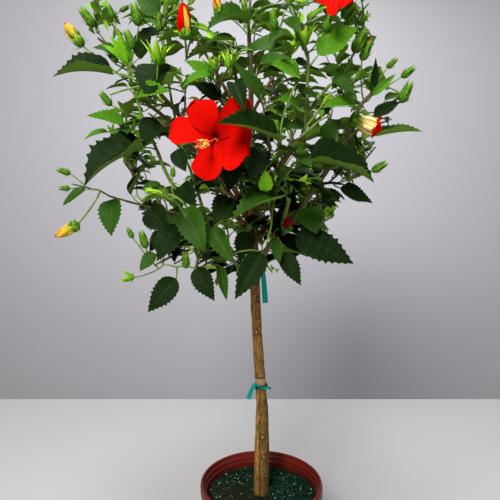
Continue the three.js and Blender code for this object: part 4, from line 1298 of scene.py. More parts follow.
# ------------------------------------------------------- trunk, boughs and bark
def bark_tube(kind, path, radius, sides, uv0, uv1, relief, ends, knots=()):
    """a limb with bark modelled on it. uv0..uv1: its own part of the chart"""
    n = len(path)
    T = unit(np.gradient(path, axis=0))
    x = square_to(np.broadcast_to(V(1, 0, 0) if abs(T[:, 0]).mean() < .7 else V(0, 1, 0), T.shape), T)
    y = np.cross(T, x)
    a = np.arange(sides) / sides * 2 * math.pi
    A = a[None, :] + np.zeros((n, 1))
    ca, sa = np.cos(A), np.sin(A)
    base = path[:, None] + radius[:, None, None] * (ca[..., None] * x[:, None] + sa[..., None] * y[:, None])
    h = relief(base, A, path[:, 2][:, None] + 0 * A)
    v = base + h[..., None] * (ca[..., None] * x[:, None] + sa[..., None] * y[:, None])
    v = np.concatenate([v, v[:, :1]], 1)
    cols = sides + 1
    u = uv0[0] + (uv1[0] - uv0[0]) * np.arange(cols) / sides
    w = uv0[1] + (uv1[1] - uv0[1]) * np.arange(n) / (n - 1)
    uv = np.stack(np.broadcast_arrays(u[None, :], w[:, None]), -1)
    vv = np.vstack([v.reshape(-1, 3), path[:1] - T[:1] * radius[0] * .1, path[-1:] + T[-1:] * radius[-1] * .5])
    uvs = np.vstack([uv.reshape(-1, 2), [[uv0[0], uv0[1]]], [[uv1[0], uv1[1]]]])
    q = grid_quads(n, cols)
    k = np.arange(sides)
    tr = np.vstack([np.stack([k + 1, k, np.full(sides, n * cols)], 1),
                    np.stack([(n - 1) * cols + k, (n - 1) * cols + k + 1, np.full(sides, n * cols + 1)], 1)])
    kind.add(vv, q, tr, uvs, 0)


def stem_relief(p, A, z):
    lat = lambda f, s: lattice(p * f, s)
    # ridges run up the stem and break up where they cross the rough patches
    warp = 2.4 * lattice(np.stack([np.cos(A) * 1.1, np.sin(A) * 1.1, z * 22], -1), 31)
    ridge = np.abs(np.sin(A * 5.5 + warp + 1.1 * np.sin(z * 40))) ** .7
    h = -.00050 * (1 - ridge) * smooth(.66, .30, z) - .00018
    h = h + .00042 * lattice(p * V(190, 190, 60), 32) + .00024 * lattice(p * V(420, 420, 190), 33) + .00014 * lattice(p * 900, 34)
    # a long dark cleft up the front, left of the middle
    az = (A - math.radians(-111) + math.pi) % (2 * math.pi) - math.pi
    cleft = np.exp(-(az / .10) ** 2) * smooth(.345, .31, z)
    h = h - .0021 * cleft
    h = h + .00055 * np.exp(-((az + .55) / .42) ** 2) * smooth(.35, .31, z)
    for kz, kaz, kh in KNOTS:
        da = (A - math.radians(kaz) + math.pi) % (2 * math.pi) - math.pi
        rr = np.sqrt((da * .0105 / .0052) ** 2 + ((z - kz) / .0072) ** 2)
        h = h + kh / 1000 * np.exp(-rr ** 2 * 1.3) - .0011 * np.exp(-(rr / .34) ** 2)
        h = h + .00030 * np.cos(np.minimum(rr, 2.2) * 7) * np.exp(-(rr - 1) ** 2 * 1.6)
    # rings of old leaf scars
    for kz in np.arange(.158, .64, .0235):
        k2 = kz + .004 * lattice(np.stack([np.cos(A), np.sin(A), A * 0 + kz * 90], -1), 35)
        h = h + .00026 * np.exp(-((z - k2) / .0011) ** 2)
    # the foot drawn in a little where it goes into the mix, with its toes
    low = smooth(.172, .1465, z)
    h = h - low * .0006 + low * .0004 * np.maximum(0, np.cos(A * 5 + .7)) ** 2
    return h


wood = Kind("trunk_and_boughs")
_z = np.concatenate([np.linspace(.1440, STEM_Z1, 470)])
_p = stem_centre(_z)
bark_tube(wood, _p, stem_radius(_z), 76, (.0, .0), (.62, 1.0), stem_relief, True)


def bough_relief(p, A, z):
    return .00022 * lattice(p * V(260, 260, 120), 41) + .00012 * lattice(p * 700, 42) + .00016 * np.abs(np.sin(A * 3.5 + lattice(p * 60, 43) * 2)) - .00008


_slot = 0
for _b in BOUGHS:
    _path = along(BOUGH_PATH[_b[0]], np.linspace(0, 1, 70))
    _path = np.vstack([_path, _path[-1] + (unit(_path[-1] - _path[-2]) * np.linspace(.004, .020, 5)[:, None])])
    _len = np.linspace(0, 1, len(_path))
    _r = (_b[4] + (_b[5] - _b[4]) * _len ** .8) / 1000
    _r = _r * (.84 if _b[0] != "bough_left_low" else .60) * (1 + .5 * np.exp(-(_len / .05) ** 2))
    _r[-4:] *= np.array([.95, .85, .7, .5])
    _u = .64 + .12 * (_slot % 3)
    _v = .2 * (_slot // 3)
    bark_tube(wood, _path, _r, 20, (_u, _v), (_u + .11, _v + .19), bough_relief, True)
    _slot += 1

# -------------------------------------------------------------------- the pot
pot = Kind("pot_shell")


def lathe(kind, prof, sides, mat=0, wob=0., uvr=None):
    prof = np.array(prof, float)
    d = np.concatenate([[0], np.cumsum(np.linalg.norm(np.diff(prof, axis=0), axis=1))])
    n = len(prof)
    a = np.linspace(0, 2 * math.pi, sides + 1)
    A = a[None, :] + np.zeros((n, 1))
    R = prof[:, 0][:, None] + 0 * A
    v = np.stack([R * np.cos(A), R * np.sin(A), prof[:, 1][:, None] + 0 * A], -1)
    uv = np.stack(np.broadcast_arrays(a[None, :] / (2 * math.pi), (d / d[-1])[:, None]), -1)
    kind.add(v.reshape(-1, 3), grid_quads(n, sides + 1), None, uv.reshape(-1, 2), mat)


def rounded(pts, r, k=4):
    """the profile with each inner corner eased by r"""
    pts = np.array(pts, float)
    out = [pts[0]]
    for i in range(1, len(pts) - 1):
        a, b, c = pts[i - 1], pts[i], pts[i + 1]
        la, lc = np.linalg.norm(a - b), np.linalg.norm(c - b)
        q = min(r, la * .45, lc * .45)
        p, s = b + (a - b) / la * q, b + (c - b) / lc * q
        for t in np.linspace(0, 1, k):
            out.append((1 - t) ** 2 * p + 2 * t * (1 - t) * b + t * t * s)
    out.append(pts[-1])
    return np.array(out)


def wall_at(z):
    return POT["base_r"] + (POT["wall_r"] - POT["base_r"]) * (z / POT["wall_z"])


W = POT["wall"]
prof = [(0, .0022), (.030, .0022), (.0325, .0018), (.050, .0018), (.052, 0), (.0685, 0), (.0722, .0018)]
prof += [(wall_at(z), z) for z in (.006, .030, .060, .090, .118)]
prof += [(wall_at(.1185) + .0008, .1205), (wall_at(.121) + .0008, .123), (wall_at(.125), .1255)]
prof += [(wall_at(.149), .149), (.1002, .1512), (.1015, .1535), (.10165, .158), (.1015, .1655), (.1006, .1684), (.0990, .1698), (.0972, .1692), (.09665, .1672),
         (.0960, .1640), (.0955, .1622), (.0943, .1618), (.0937, .1600), (.0934, .1550), (.0929, .1540), (.0917, .1537), (.0913, .1525)]
prof += [(wall_at(z) - W - .0006, z) for z in (.1460, .140, .090, .040, .0065)]
prof += [(.0680, .0034), (.052, .0030), (0, .0030)]
prof = rounded(prof, .0009, 4)
lathe(pot, prof, 190)

# ------------------------------------------------------------ the potting mix
mix = Kind("potting_mix_surface")
_rs = np.linspace(0, 1, 56)
_ring = 150
_top = []
RS = (wall_at(SOIL_Z) - W - .0008)


def soil_h(x, y):
    r = np.hypot(x, y)
    p = np.stack(np.broadcast_arrays(x, y, 0 * x), -1)
    h = SOIL_Z + .0016 * lattice(p * 55, 51) + .0011 * lattice(p * 130, 52) + .0006 * lattice(p * 300, 53)
    return h + .0026 * np.exp(-(r / .030) ** 2) - .0018 * smooth(.070, .092, r)


A = np.linspace(0, 2 * math.pi, _ring, endpoint=False)
R = (_rs[1:] ** .9) * RS
X, Y = R[:, None] * np.cos(A), R[:, None] * np.sin(A)
Z = soil_h(X, Y)
surf = np.stack([X, Y, Z], -1).reshape(-1, 3)
low_r = wall_at(.128) - W - .0008
bottom = np.stack([low_r * np.cos(A), low_r * np.sin(A), 0 * A + .128], -1)
vv = np.vstack([[[0, 0, soil_h(np.zeros(1), np.zeros(1))[0]]], surf, bottom, [[0, 0, .128]]])
nr = len(R)
i, j = np.meshgrid(np.arange(nr - 1), np.arange(_ring), indexing="ij")
j2 = (j + 1) % _ring
q = np.stack([1 + i * _ring + j, 1 + (i + 1) * _ring + j, 1 + (i + 1) * _ring + j2, 1 + i * _ring + j2], -1).reshape(-1, 4)
k = np.arange(_ring)
k2 = (k + 1) % _ring
o = 1 + (nr - 1) * _ring
b0 = 1 + nr * _ring
q = np.vstack([q, np.stack([o + k, b0 + k, b0 + k2, o + k2], 1)])
tr = np.vstack([np.stack([0 * k, 1 + k, 1 + k2], 1), np.stack([b0 + k, 0 * k + b0 + _ring, b0 + k2], 1)])
uv = np.vstack([[[.5, .5]], .5 + .47 * surf[:, :2] / RS, .5 + .485 * bottom[:, :2] / low_r * 1.0, [[.5, .5]]])
mix.add(vv, q, tr, uv, 0)

crumbs = Kind("mix_crumbs")
r3 = np.random.default_rng(77)
DODE = unit(np.array([(1, 1, 1), (-1, -1, 1), (-1, 1, -1), (1, -1, -1), (0, 0, 1.3), (0, 0, -1.3), (1.3, 0, 0), (-1.3, 0, 0), (0, 1.3, 0), (0, -1.3, 0)], float))
OCT_F = np.array([(0, 2, 4), (2, 1, 4), (1, 3, 4), (3, 0, 4), (2, 0, 5), (1, 2, 5), (3, 1, 5), (0, 3, 5)])
OCT_V = np.array([(1, 0, 0), (-1, 0, 0), (0, 1, 0), (0, -1, 0), (0, 0, 1), (0, 0, -1)], float)


def crumb(c, size, mat, flatten=(1, 1, 1)):
    # an octahedron split once, each corner moved: a rough granule
    v = SPH_V * (1 + r3.uniform(-.28, .28, (len(SPH_V), 1)))
    v = v * V(*flatten) * size
    ax = unit(r3.normal(0, 1, 3))
    a = r3.random() * 6.28
    K = np.array([[0, -ax[2], ax[1]], [ax[2], 0, -ax[0]], [-ax[1], ax[0], 0]])
    M = np.eye(3) + math.sin(a) * K + (1 - math.cos(a)) * K @ K
    crumbs.add(v @ M.T + c, None, SPH_F, np.tile([[(mat + .5) * .2, .5]], (len(v), 1)), mat)


def split(v, f):
    v = [tuple(x) for x in v]
    seen, out = {}, []

    def mid(a, b):
        k = (min(a, b), max(a, b))
        if k not in seen:
            seen[k] = len(v)
            v.append(tuple(unit(np.array(v[a]) + np.array(v[b]))))
        return seen[k]
    for a, b, c in f:
        ab, bc, ca = mid(a, b), mid(b, c), mid(c, a)
        out += [(a, ab, ca), (ab, b, bc), (ca, bc, c), (ab, bc, ca)]
    return np.array(v, float), np.array(out)


SPH_V, SPH_F = split(OCT_V, OCT_F)


def spot(rmax=.0895, rmin=.017):
    while True:
        x, y = r3.uniform(-rmax, rmax, 2)
        if rmin < math.hypot(x, y) < rmax:
            return x, y


# 0 dark green, 1 mid green, 2 light green fibre, 3 brown, 4 white
for _ in range(2600):
    x, y = spot()
    brown = smooth(.020, -.030, x + .30 * y + .010 * r3.normal())
    u = r3.random()
    mat = 3 if u < .10 + .62 * brown * (y < .03) else (1 if u > .72 else 0)
    s = r3.uniform(.0007, .0020)
    crumb(V(x, y, soil_h(np.array(x), np.array(y)) + s * .25), s, mat, (1.3, .9, .7))
for _ in range(150):
    x, y = spot()
    s = r3.uniform(.0004, .0010)
    crumb(V(x, y, soil_h(np.array(x), np.array(y)) + s * .7), s, 4)
for _ in range(760):
    x, y = spot(.084, .018)
    a = r3.random() * 6.28
    L = r3.uniform(.003, .011)
    e = V(math.cos(a), math.sin(a), 0) * L * .5
    c = V(x, y, soil_h(np.array(x), np.array(y)) + r3.uniform(.0006, .0022))
    side = V(-e[1], e[0], 0) * r3.uniform(-.5, .5)
    lift = UP * r3.uniform(0, .0022)
    w = r3.uniform(.00020, .00048)
    m = 2 if r3.random() < .40 else (3 if (x + .3 * y < -.01 and r3.random() < .7) else 1)
    before = crumbs.n
    path = bezier(c - e, c + side + lift, c + e, 5)
    path[:, 2] = np.maximum(path[:, 2], soil_h(path[:, 0], path[:, 1]) + .0002)
    tube(crumbs, path, [w * .6, w, w, w, w * .5], 4, m)
    crumbs.uv[-1][:] = [(m + .5) * .2, .5]

# -------------------------------------------------------------- the two ties
ties = Kind("stem_ties")


def band(z, height, gap, thick, tilt, seed, turns=1.0, mat=0):
    """a strip of soft tape round the stem, a little crumpled"""
    c0 = stem_centre(z)
    n = 90
    a = np.linspace(0, 2 * math.pi * turns, n)
    r = stem_radius(z) + gap
    wob = .0008 * lattice(np.stack([np.cos(a) * 2, np.sin(a) * 2, a * 0 + seed], -1), 61)
    zz = z + tilt * np.cos(a + .4) + .0012 * lattice(np.stack([np.cos(a) * 1.6, np.sin(a) * 1.6, a * 0 + seed + 5], -1), 62)
    P = np.stack([c0[0] + (r + wob) * np.cos(a), c0[1] + (r + wob) * np.sin(a), zz], -1)
    strip(P, np.stack([np.cos(a), np.sin(a), 0 * a], -1), height * (1 + .12 * np.sin(3 * a + seed)), thick, mat=mat)


def strip(P, N, width, thick, across=9, mat=0, taper=False, crease=.0005):
    """a closed flat strip: P its middle line, N its outward side"""
    n = len(P)
    T = unit(np.gradient(P, axis=0))
    N = square_to(N, T)
    Bn = np.cross(T, N)
    s = np.linspace(-1, 1, across)
    width = np.broadcast_to(width, (n,))
    prof = crease * np.sin(s * 5.2 + 1.0)[None, :] + crease * .8 * lattice(np.stack(np.broadcast_arrays(s[None, :] * 2, np.arange(n)[:, None] * .11, 0 * s[None, :]), -1), 63)
    mid = P[:, None] + (s[None, :] * width[:, None] * .5)[..., None] * Bn[:, None] + prof[..., None] * N[:, None]
    up, dn = mid + N[:, None] * thick * .5, mid - N[:, None] * thick * .5
    v = np.concatenate([up, dn[:, ::-1]], 1)
    c = 2 * across
    i, j = np.meshgrid(np.arange(n - 1), np.arange(c), indexing="ij")
    j2 = (j + 1) % c
    q = np.stack([i * c + j, i * c + j2, (i + 1) * c + j2, (i + 1) * c + j], -1).reshape(-1, 4)
    e0 = np.array([(k, c - 1 - k, c - 2 - k, k + 1) for k in range(across - 1)])[:, ::-1]
    e1 = (n - 1) * c + e0[:, ::-1]
    uu = np.concatenate([s * .24 + .25, s[::-1] * .24 + .75])
    uv = np.stack(np.broadcast_arrays(uu[None, :], np.linspace(.02, .98, n)[:, None]), -1).reshape(-1, 2)
    ties.add(v.reshape(-1, 3), np.vstack([q, e0[:, ::-1], e1[:, ::-1]])[:, ::-1], None, uv, mat)


band(.3318, .0044, .0017, .0008, .0007, 1.0, mat=2)
band(.3302, .0030, .0022, .0008, -.0010, 2.3, mat=2)
band(.5240, .0076, .0019, .0009, .0008, 3.1)
_c = stem_centre(.3315)
_o = lambda c, pts: np.array([c + V(*p) / 1000 for p in pts])
_w = lambda P: np.broadcast_to(FRONT, P.shape)
P = spline(_o(_c, [(-4, -11.8, 1), (-7, -12.4, 5), (-10, -13.0, 6), (-13.5, -14.5, 0), (-17, -15.4, -8), (-20.5, -15.8, -17)]), 36)
strip(P, _w(P), np.linspace(.0042, .0074, 36), .0008)
P = spline(_o(_c, [(2, -12, 0), (6, -12.6, -.4), (10, -13, .6), (13.5, -12.5, .2), (16.5, -12.2, -1.6)]), 26)
strip(P, _w(P), np.linspace(.0036, .0046, 26), .0008)
_c = stem_centre(.524)
P = spline(_o(_c, [(2, -10, 3), (7, -11.2, 4), (12.0, -12.2, 0), (14.2, -12.8, -12), (15.6, -12.8, -30), (17.2, -12.4, -52)]), 46)
strip(P, _w(P), np.linspace(.0062, .0090, 46), .0009)
turned(ties, stem_centre(.5245) + V(.003, -.0108, -.003), V(.25, -.2, 1), .0085, [(0, .0012), (.3, .0034), (.7, .0034), (1, .0012)], 14, 8, 0, 5, .10, cell=(.02, .48))
turned(ties, stem_centre(.3320) + V(-.0062, -.0118, -.0020), V(-.7, -.2, 1), .0062, [(0, .0009), (.3, .0024), (.7, .0024), (1, .0009)], 14, 8, 1, 5, .10, cell=(.02, .48))

# ------------------------------------------------------------------- finishes
class Mat:
    """a small way to write node materials: only plain nodes, no pictures"""

    def __init__(self, name):
        self.m = bpy.data.materials.new(name)
        self.m.use_nodes = True
        self.t = self.m.node_tree
        self.b = self.t.nodes["Principled BSDF"]

    def put(self, **k):
        for n, v in k.items():
            n = n.replace("_", " ")
            if hasattr(v, "links"):
                self.t.links.new(v, self.b.inputs[n])
            else:
                self.b.inputs[n].default_value = v
        return self

    def node(self, kind, out=0, props=None, **k):
        n = self.t.nodes.new("ShaderNode" + kind)
        for a, v in (props or {}).items():
            setattr(n, a, v)
        for a, v in k.items():
            sock = n.inputs[int(a[1:])] if a[0] == "i" and a[1:].isdigit() else n.inputs[a]
            if hasattr(v, "links"):
                self.t.links.new(v, sock)
            else:
                sock.default_value = v
        return n.outputs[out]

    def math(self, op, a, b=0.0, c=0.0, clamp=False):
        return self.node("Math", 0, dict(operation=op, use_clamp=clamp), i0=a, i1=b, i2=c)

    def ramp(self, x, lo, hi):
        return self.node("MapRange", 0, dict(interpolation_type="SMOOTHSTEP"), i0=x, i1=lo, i2=hi)

    def mix(self, f, a, b):
        n = self.t.nodes.new("ShaderNodeMix")
        n.data_type = "RGBA"
        for sock, v in ((n.inputs[0], f), (n.inputs[6], a), (n.inputs[7], b)):
            if hasattr(v, "links"):
                self.t.links.new(v, sock)
            else:
                sock.default_value = v
        return n.outputs[2]

    def xyz(self, v):
        n = self.t.nodes.new("ShaderNodeSeparateXYZ")
        self.t.links.new(v, n.inputs[0])
        return n.outputs[0], n.outputs[1], n.outputs[2]

    def noise(self, vec, scale, detail=2.0, rough=.5):
        return self.node("TexNoise", 0, None, Vector=vec, Scale=scale, Detail=detail, Roughness=rough)

    def obj(self):
        return self.node("TexCoord", 3)

    def uv(self):
        return self.node("UVMap", 0, dict(uv_map="OFBake"))

    def bump(self, height, strength, dist):
        n = self.t.nodes.new("ShaderNodeBump")
        n.inputs["Strength"].default_value = strength
        n.inputs["Distance"].default_value = dist
        self.t.links.new(height, n.inputs["Height"])
        self.t.links.new(n.outputs[0], self.b.inputs["Normal"])
        return self


def rgb(*c):
    return (c[0], c[1], c[2], 1.0)


def leaf_mat(name, base, vein, under, rough, spec, vein_mix):
    m = Mat(name)
    u, v, _ = m.xyz(m.uv())
    s = m.math("ABSOLUTE", m.math("MULTIPLY", m.math("SUBTRACT", u, .75 if under else .25), 1 / .23))
    t = m.math("MULTIPLY", m.math("SUBTRACT", v, .01), 1 / .98)
    mid = m.math("SUBTRACT", 1.0, m.ramp(s, .015, .060 if not under else .09))
    ph = m.math("MULTIPLY", m.math("SUBTRACT", t, m.math("MULTIPLY", m.math("POWER", s, 1.2), .30)), 7.0)
    saw = m.math("ABSOLUTE", m.math("SUBTRACT", m.math("FRACT", ph), .5))
    lat = m.math("MULTIPLY", m.math("SUBTRACT", 1.0, m.ramp(saw, .02, .085)), m.ramp(t, .03, .10))
    lat = m.math("MULTIPLY", lat, m.math("SUBTRACT", 1.0, m.math("MULTIPLY", s, .55)))
    fine = m.math("ABSOLUTE", m.math("SUBTRACT", m.math("FRACT", m.math("ADD", m.math("MULTIPLY", ph, 3.0), m.math("MULTIPLY", s, 2.0))), .5))
    fine = m.math("SUBTRACT", 1.0, m.ramp(fine, .05, .20))
    mask = m.math("MAXIMUM", mid, m.math("MULTIPLY", lat, .75))
    mask = m.math("MAXIMUM", mask, m.math("MULTIPLY", fine, .16))
    col = m.mix(m.math("MULTIPLY", mask, vein_mix), base, vein)
    # a thin pale line along the margin, partly the margin's own lighter tone and partly a painted highlight on the rim,
    # and uneven depth over the blade
    col = m.mix(m.math("MULTIPLY", m.ramp(s, .90, .985), .42), col, vein)
    shade = m.node("TexNoise", 0, None, Vector=m.uv(), Scale=9.0, Detail=3.0, Roughness=.6)
    col = m.mix(m.math("MULTIPLY", m.ramp(shade, .35, .75), .16), col, rgb(*(np.array(base[:3]) * (1.35, 1.22, 1.1))))
    m.put(Base_Color=col, Roughness=rough)
    m.b.inputs["Specular IOR Level"].default_value = spec
    h = m.math("ADD", m.math("MULTIPLY", mid, 1.2), m.math("MULTIPLY", lat, .8))
    h = m.math("ADD", h, m.math("MULTIPLY", fine, .22))
    if not under:
        h = m.math("MULTIPLY", h, -1.0)
    m.bump(h, .55, .0006)
    return m.m


# top, top vein, underside and underside vein colours per class; the dark end (deep, dark) is partly the leaves' own
# deep green and partly painted shade for leaves inside and under the crown, and bright and fresh are partly painted
# light for upper and outer leaves
LEAF = {
    "young": ((.205, .460, .009), (.38, .65, .05), (.27, .48, .036), (.40, .60, .10)),
    "fresh": ((.125, .345, .0075), (.28, .52, .035), (.23, .43, .034), (.33, .53, .08)),
    "bright": ((.055, .178, .0050), (.15, .34, .024), (.185, .370, .030), (.28, .47, .065)),
    "mid": ((.0195, .065, .0036), (.065, .160, .015), (.155, .310, .028), (.24, .40, .055)),
    "deep": ((.0048, .0150, .0018), (.021, .056, .0065), (.125, .250, .025), (.20, .34, .048)),
    "dark": ((.0028, .0095, .0017), (.011, .033, .006), (.060, .125, .015), (.10, .19, .030)),
}
for _c, (_b1, _v1, _b2, _v2) in LEAF.items():
    if not leaves[_c].v:
        continue
    top = leaf_mat("leaf_top_" + _c, rgb(*_b1), rgb(*_v1), False, .52, .05 if _c in ("deep", "dark") else .09, .50)
    und = leaf_mat("leaf_under_" + _c, rgb(*_b2), rgb(*_v2), True, .62, .08, .40)
    ob = leaves[_c].build([top, und])
    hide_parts(*FOLIAGE)


def plain(name, base, rough, spec=.5, speck=None, scale=300.0, amount=.5, bump=None, low=.4, high=.65):
    """one colour, with a fine second tone, on object coordinates"""
    m = Mat(name)
    if speck is not None:
        n = m.noise(m.obj(), scale, 3.0, .6)
        m.put(Base_Color=m.mix(m.math("MULTIPLY", m.ramp(n, low, high), amount), rgb(*base), rgb(*speck)))
    else:
        m.put(Base_Color=rgb(*base))
    m.put(Roughness=rough)
    m.b.inputs["Specular IOR Level"].default_value = spec
    if bump:
        m.bump(m.noise(m.obj(), bump[0], 3.0, .6), bump[1], bump[2])
    return m.m


def uvplain(name, base, rough, spec, along_col=None, lo=.0, hi=1.0, rib=0, rib_col=None, rib_mix=.4):
    """colour by place along the piece's own chart, with optional ribs across it"""
    m = Mat(name)
    u, v, _ = m.xyz(m.uv())
    col = rgb(*base)
    if along_col is not None:
        col = m.mix(m.ramp(v, lo, hi), rgb(*base), rgb(*along_col))
    if rib:
        r = m.math("ABSOLUTE", m.math("SUBTRACT", m.math("FRACT", m.math("MULTIPLY", u, rib)), .5))
        k = m.math("SUBTRACT", 1.0, m.ramp(r, .04, .30))
        col = m.mix(m.math("MULTIPLY", k, rib_mix), col, rgb(*rib_col))
        m.bump(k, .35, .0004)
    m.put(Base_Color=col, Roughness=rough)
    m.b.inputs["Specular IOR Level"].default_value = spec
    return m.m


# soft parts
calyx = uvplain("calyx_green", (.062, .175, .007), .56, .08, (.190, .390, .022), .25, .95, 5, (.022, .080, .005), .60)
bract = uvplain("bract_green", (.040, .125, .007), .56, .08, (.130, .290, .020), .2, 1.0)
spike = uvplain("calyx_open", (.160, .400, .009), .54, .12, (.400, .670, .035), .15, .85, 5, (.08, .26, .008), .40)
ob = buds.build([calyx, bract, spike])
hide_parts(*FOLIAGE)

# petal red runs darker towards the throat: partly the petal's own deeper red, partly painted shade in the cup of the
# flower
p_red = uvplain("petal_red", (.28, .0008, .0003), .74, .02, (.51, .0024, .0003), .12, .60, 47, (.34, .0010, .0006), .20)
p_throat = uvplain("petal_throat", (.10, .0008, .002), .60, .06, (.34, .0012, .0010), .02, .14)
p_yellow = uvplain("petal_yellow", (.30, .36, .020), .55, .1, (.56, .36, .028), .18, .62, 40, (.40, .26, .02), .40)
p_cream = uvplain("petal_cream", (.88, .76, .42), .52, .3, (.86, .66, .26), .2, .9, 60, (.62, .20, .06), .40)
ob = petals.build([p_red, p_throat, p_yellow, p_cream])

filament = plain("column_red", (.72, .030, .020), .45)
thread = plain("filament_pink", (.80, .16, .06), .45)
anther = plain("anther_yellow", (.90, .52, .06), .6)
stigma = plain("stigma_red", (.70, .04, .03), .5)
ob = stamens.build([filament, thread, anther, stigma], uv=False)

stem_g = plain("shoot_green", (.085, .165, .020), .50, .2, (.20, .30, .045), 160.0, .6)
stem_b = plain("shoot_brown", (.085, .070, .030), .62, .3, (.17, .125, .060), 220.0, .7, (500.0, .4, .0008))
stalk_m = plain("stalk_green", (.150, .275, .026), .50, .2, (.085, .155, .020), 120.0, .5)
for kind, m in ((shoots["g"], stem_g), (shoots["b"], stem_b), (stalks, stalk_m)):
    ob = kind.build([m], uv=False)

# bark
m = Mat("bark_brown")
o = m.obj()
x, y, z = m.xyz(o)
stretch = m.node("Mapping", 0, None, Vector=o, Scale=(1.0, 1.0, .30))
n1 = m.noise(stretch, 260.0, 6.0, .68)
n2 = m.noise(o, 60.0, 3.0, .55)
n3 = m.noise(o, 760.0, 2.0, .6)
n4 = m.noise(m.node("Mapping", 0, None, Vector=o, Location=(.3, .7, .1), Scale=(1.0, 1.0, .55)), 430.0, 3.0, .6)
col = m.mix(m.ramp(n1, .38, .64), rgb(.098, .045, .009), rgb(.270, .132, .034))
col = m.mix(m.math("MULTIPLY", m.math("MULTIPLY", m.ramp(n2, .40, .62), .60), m.math("SUBTRACT", 1.0, m.ramp(z, .30, .42))), col, rgb(.105, .078, .016))
col = m.mix(m.math("MULTIPLY", m.ramp(n3, .58, .68), .60), col, rgb(.46, .33, .17))
col = m.mix(m.math("MULTIPLY", m.ramp(n4, .55, .63), .80), col, rgb(.045, .026, .010))
# warmer, orange-brown bark on the left of the lower stem, lighter there partly as painted light on the lit left side;
# and the dark of the cleft beside it, painted shade in the crack
low = m.math("SUBTRACT", 1.0, m.ramp(z, .300, .345))
left = m.math("MULTIPLY", m.math("SUBTRACT", 1.0, m.ramp(x, -.0056, -.0034)), low)
col = m.mix(m.math("MULTIPLY", left, .62), col, m.mix(m.ramp(n1, .36, .66), rgb(.22, .090, .015), rgb(.56, .290, .070)))
# the cleft's dark line on the front: painted shade in the crack
front = m.math("SUBTRACT", 1.0, m.ramp(y, -.006, .0))
line = m.math("SUBTRACT", 1.0, m.ramp(m.math("ABSOLUTE", m.math("ADD", x, m.math("ADD", .0036, m.math("MULTIPLY", m.math("SUBTRACT", n2, .5), .009)))), .0003, .0013))
line = m.math("MULTIPLY", m.math("MULTIPLY", line, front), m.math("MULTIPLY", low, m.ramp(n2, .36, .50)))
col = m.mix(m.math("MULTIPLY", line, .85), col, rgb(.030, .014, .006))
# a worn pale ring over the lower tie, with a dark scar above it
ring = m.math("MULTIPLY", m.ramp(z, .3335, .3350), m.math("SUBTRACT", 1.0, m.ramp(z, .3440, .3450)))
col = m.mix(m.math("MULTIPLY", ring, .60), col, rgb(.42, .27, .13))
scar = m.math("MULTIPLY", m.ramp(z, .3445, .3455), m.math("SUBTRACT", 1.0, m.ramp(z, .3470, .3485)))
col = m.mix(m.math("MULTIPLY", scar, .75), col, rgb(.040, .020, .009))
# redder, younger bark inside the crown, green-brown on the far boughs
hi = m.ramp(z, .44, .54)
col = m.mix(m.math("MULTIPLY", hi, .65), col, m.mix(m.ramp(n1, .36, .66), rgb(.075, .034, .014), rgb(.20, .095, .038)))
xr = m.math("ADD", x, .012)
far = m.ramp(m.math("SQRT", m.math("ADD", m.math("MULTIPLY", xr, xr), m.math("MULTIPLY", y, y))), .035, .110)
col = m.mix(m.math("MULTIPLY", far, .80), col, m.mix(m.ramp(n1, .36, .66), rgb(.045, .050, .016), rgb(.100, .105, .034)))
# darker towards the foot; darker down its right side, which is painted shade on the side turned from the light
foot = m.math("SUBTRACT", 1.0, m.ramp(z, .148, .200))
col = m.mix(m.math("MULTIPLY", foot, .50), col, rgb(.075, .036, .010))
# the right side of the lower stem is darkened: painted shade
right_side_painted_shade = m.math("MULTIPLY", m.math("SUBTRACT", 1.0, m.ramp(z, .290, .340)), m.ramp(x, .0015, .0075))
col = m.mix(m.math("MULTIPLY", right_side_painted_shade, .45), col, rgb(.060, .042, .010))
# old leaf scars: a pale middle in a dark ring
for kz, kaz, kh in KNOTS:
    c0 = stem_centre(kz) + stem_radius(kz) * V(math.cos(math.radians(kaz)), math.sin(math.radians(kaz)), 0)
    dist = m.node("VectorMath", 1, dict(operation="DISTANCE"), i0=m.node("Mapping", 0, None, Vector=o, Scale=(1, 1, .8)), i1=(c0[0], c0[1], c0[2] * .8))
    dist = m.math("ADD", dist, m.math("MULTIPLY", m.math("SUBTRACT", n4, .5), .010))
    ringed = m.math("MULTIPLY", m.ramp(dist, .0012, .0020), m.math("SUBTRACT", 1.0, m.ramp(dist, .0030, .0044)))
    col = m.mix(m.math("MULTIPLY", ringed, .80), col, rgb(.030, .016, .006))
    col = m.mix(m.math("MULTIPLY", m.math("SUBTRACT", 1.0, m.ramp(dist, .0004, .0013)), .62), col, rgb(.55, .42, .24))
m.put(Base_Color=col, Roughness=.82)
m.b.inputs["Specular IOR Level"].default_value = .10
m.bump(m.math("ADD", n1, m.math("MULTIPLY", n4, -.8)), .85, .0020)
ob = wood.build([m.m])
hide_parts("trunk", *[b[0] for b in BOUGHS])

# pot
m = Mat("pot_red")
o = m.obj()
x, y, z = m.xyz(o)
n = m.noise(o, 60.0, 4.0, .6)
# the inner wall below the lip is darkened: painted shade inside the pot
inside_painted_shade = m.math("SUBTRACT", 1.0, m.ramp(z, .149, .166))
rr = m.math("SQRT", m.math("ADD", m.math("MULTIPLY", x, x), m.math("MULTIPLY", y, y)))
col = m.mix(m.math("MULTIPLY", m.ramp(n, .40, .68), .35), rgb(.115, .0085, .0040), rgb(.172, .0165, .0078))
col = m.mix(m.math("MULTIPLY", inside_painted_shade, m.math("MULTIPLY", m.math("SUBTRACT", 1.0, m.ramp(rr, .0955, .0965)), .45)), col, rgb(.055, .0045, .003))
m.put(Base_Color=col, Roughness=.44)
m.b.inputs["Specular IOR Level"].default_value = .24
m.bump(m.noise(o, 900.0, 2.0, .5), .10, .0003)
ob = pot.build([m.m], sharp=50)
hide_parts("pot")

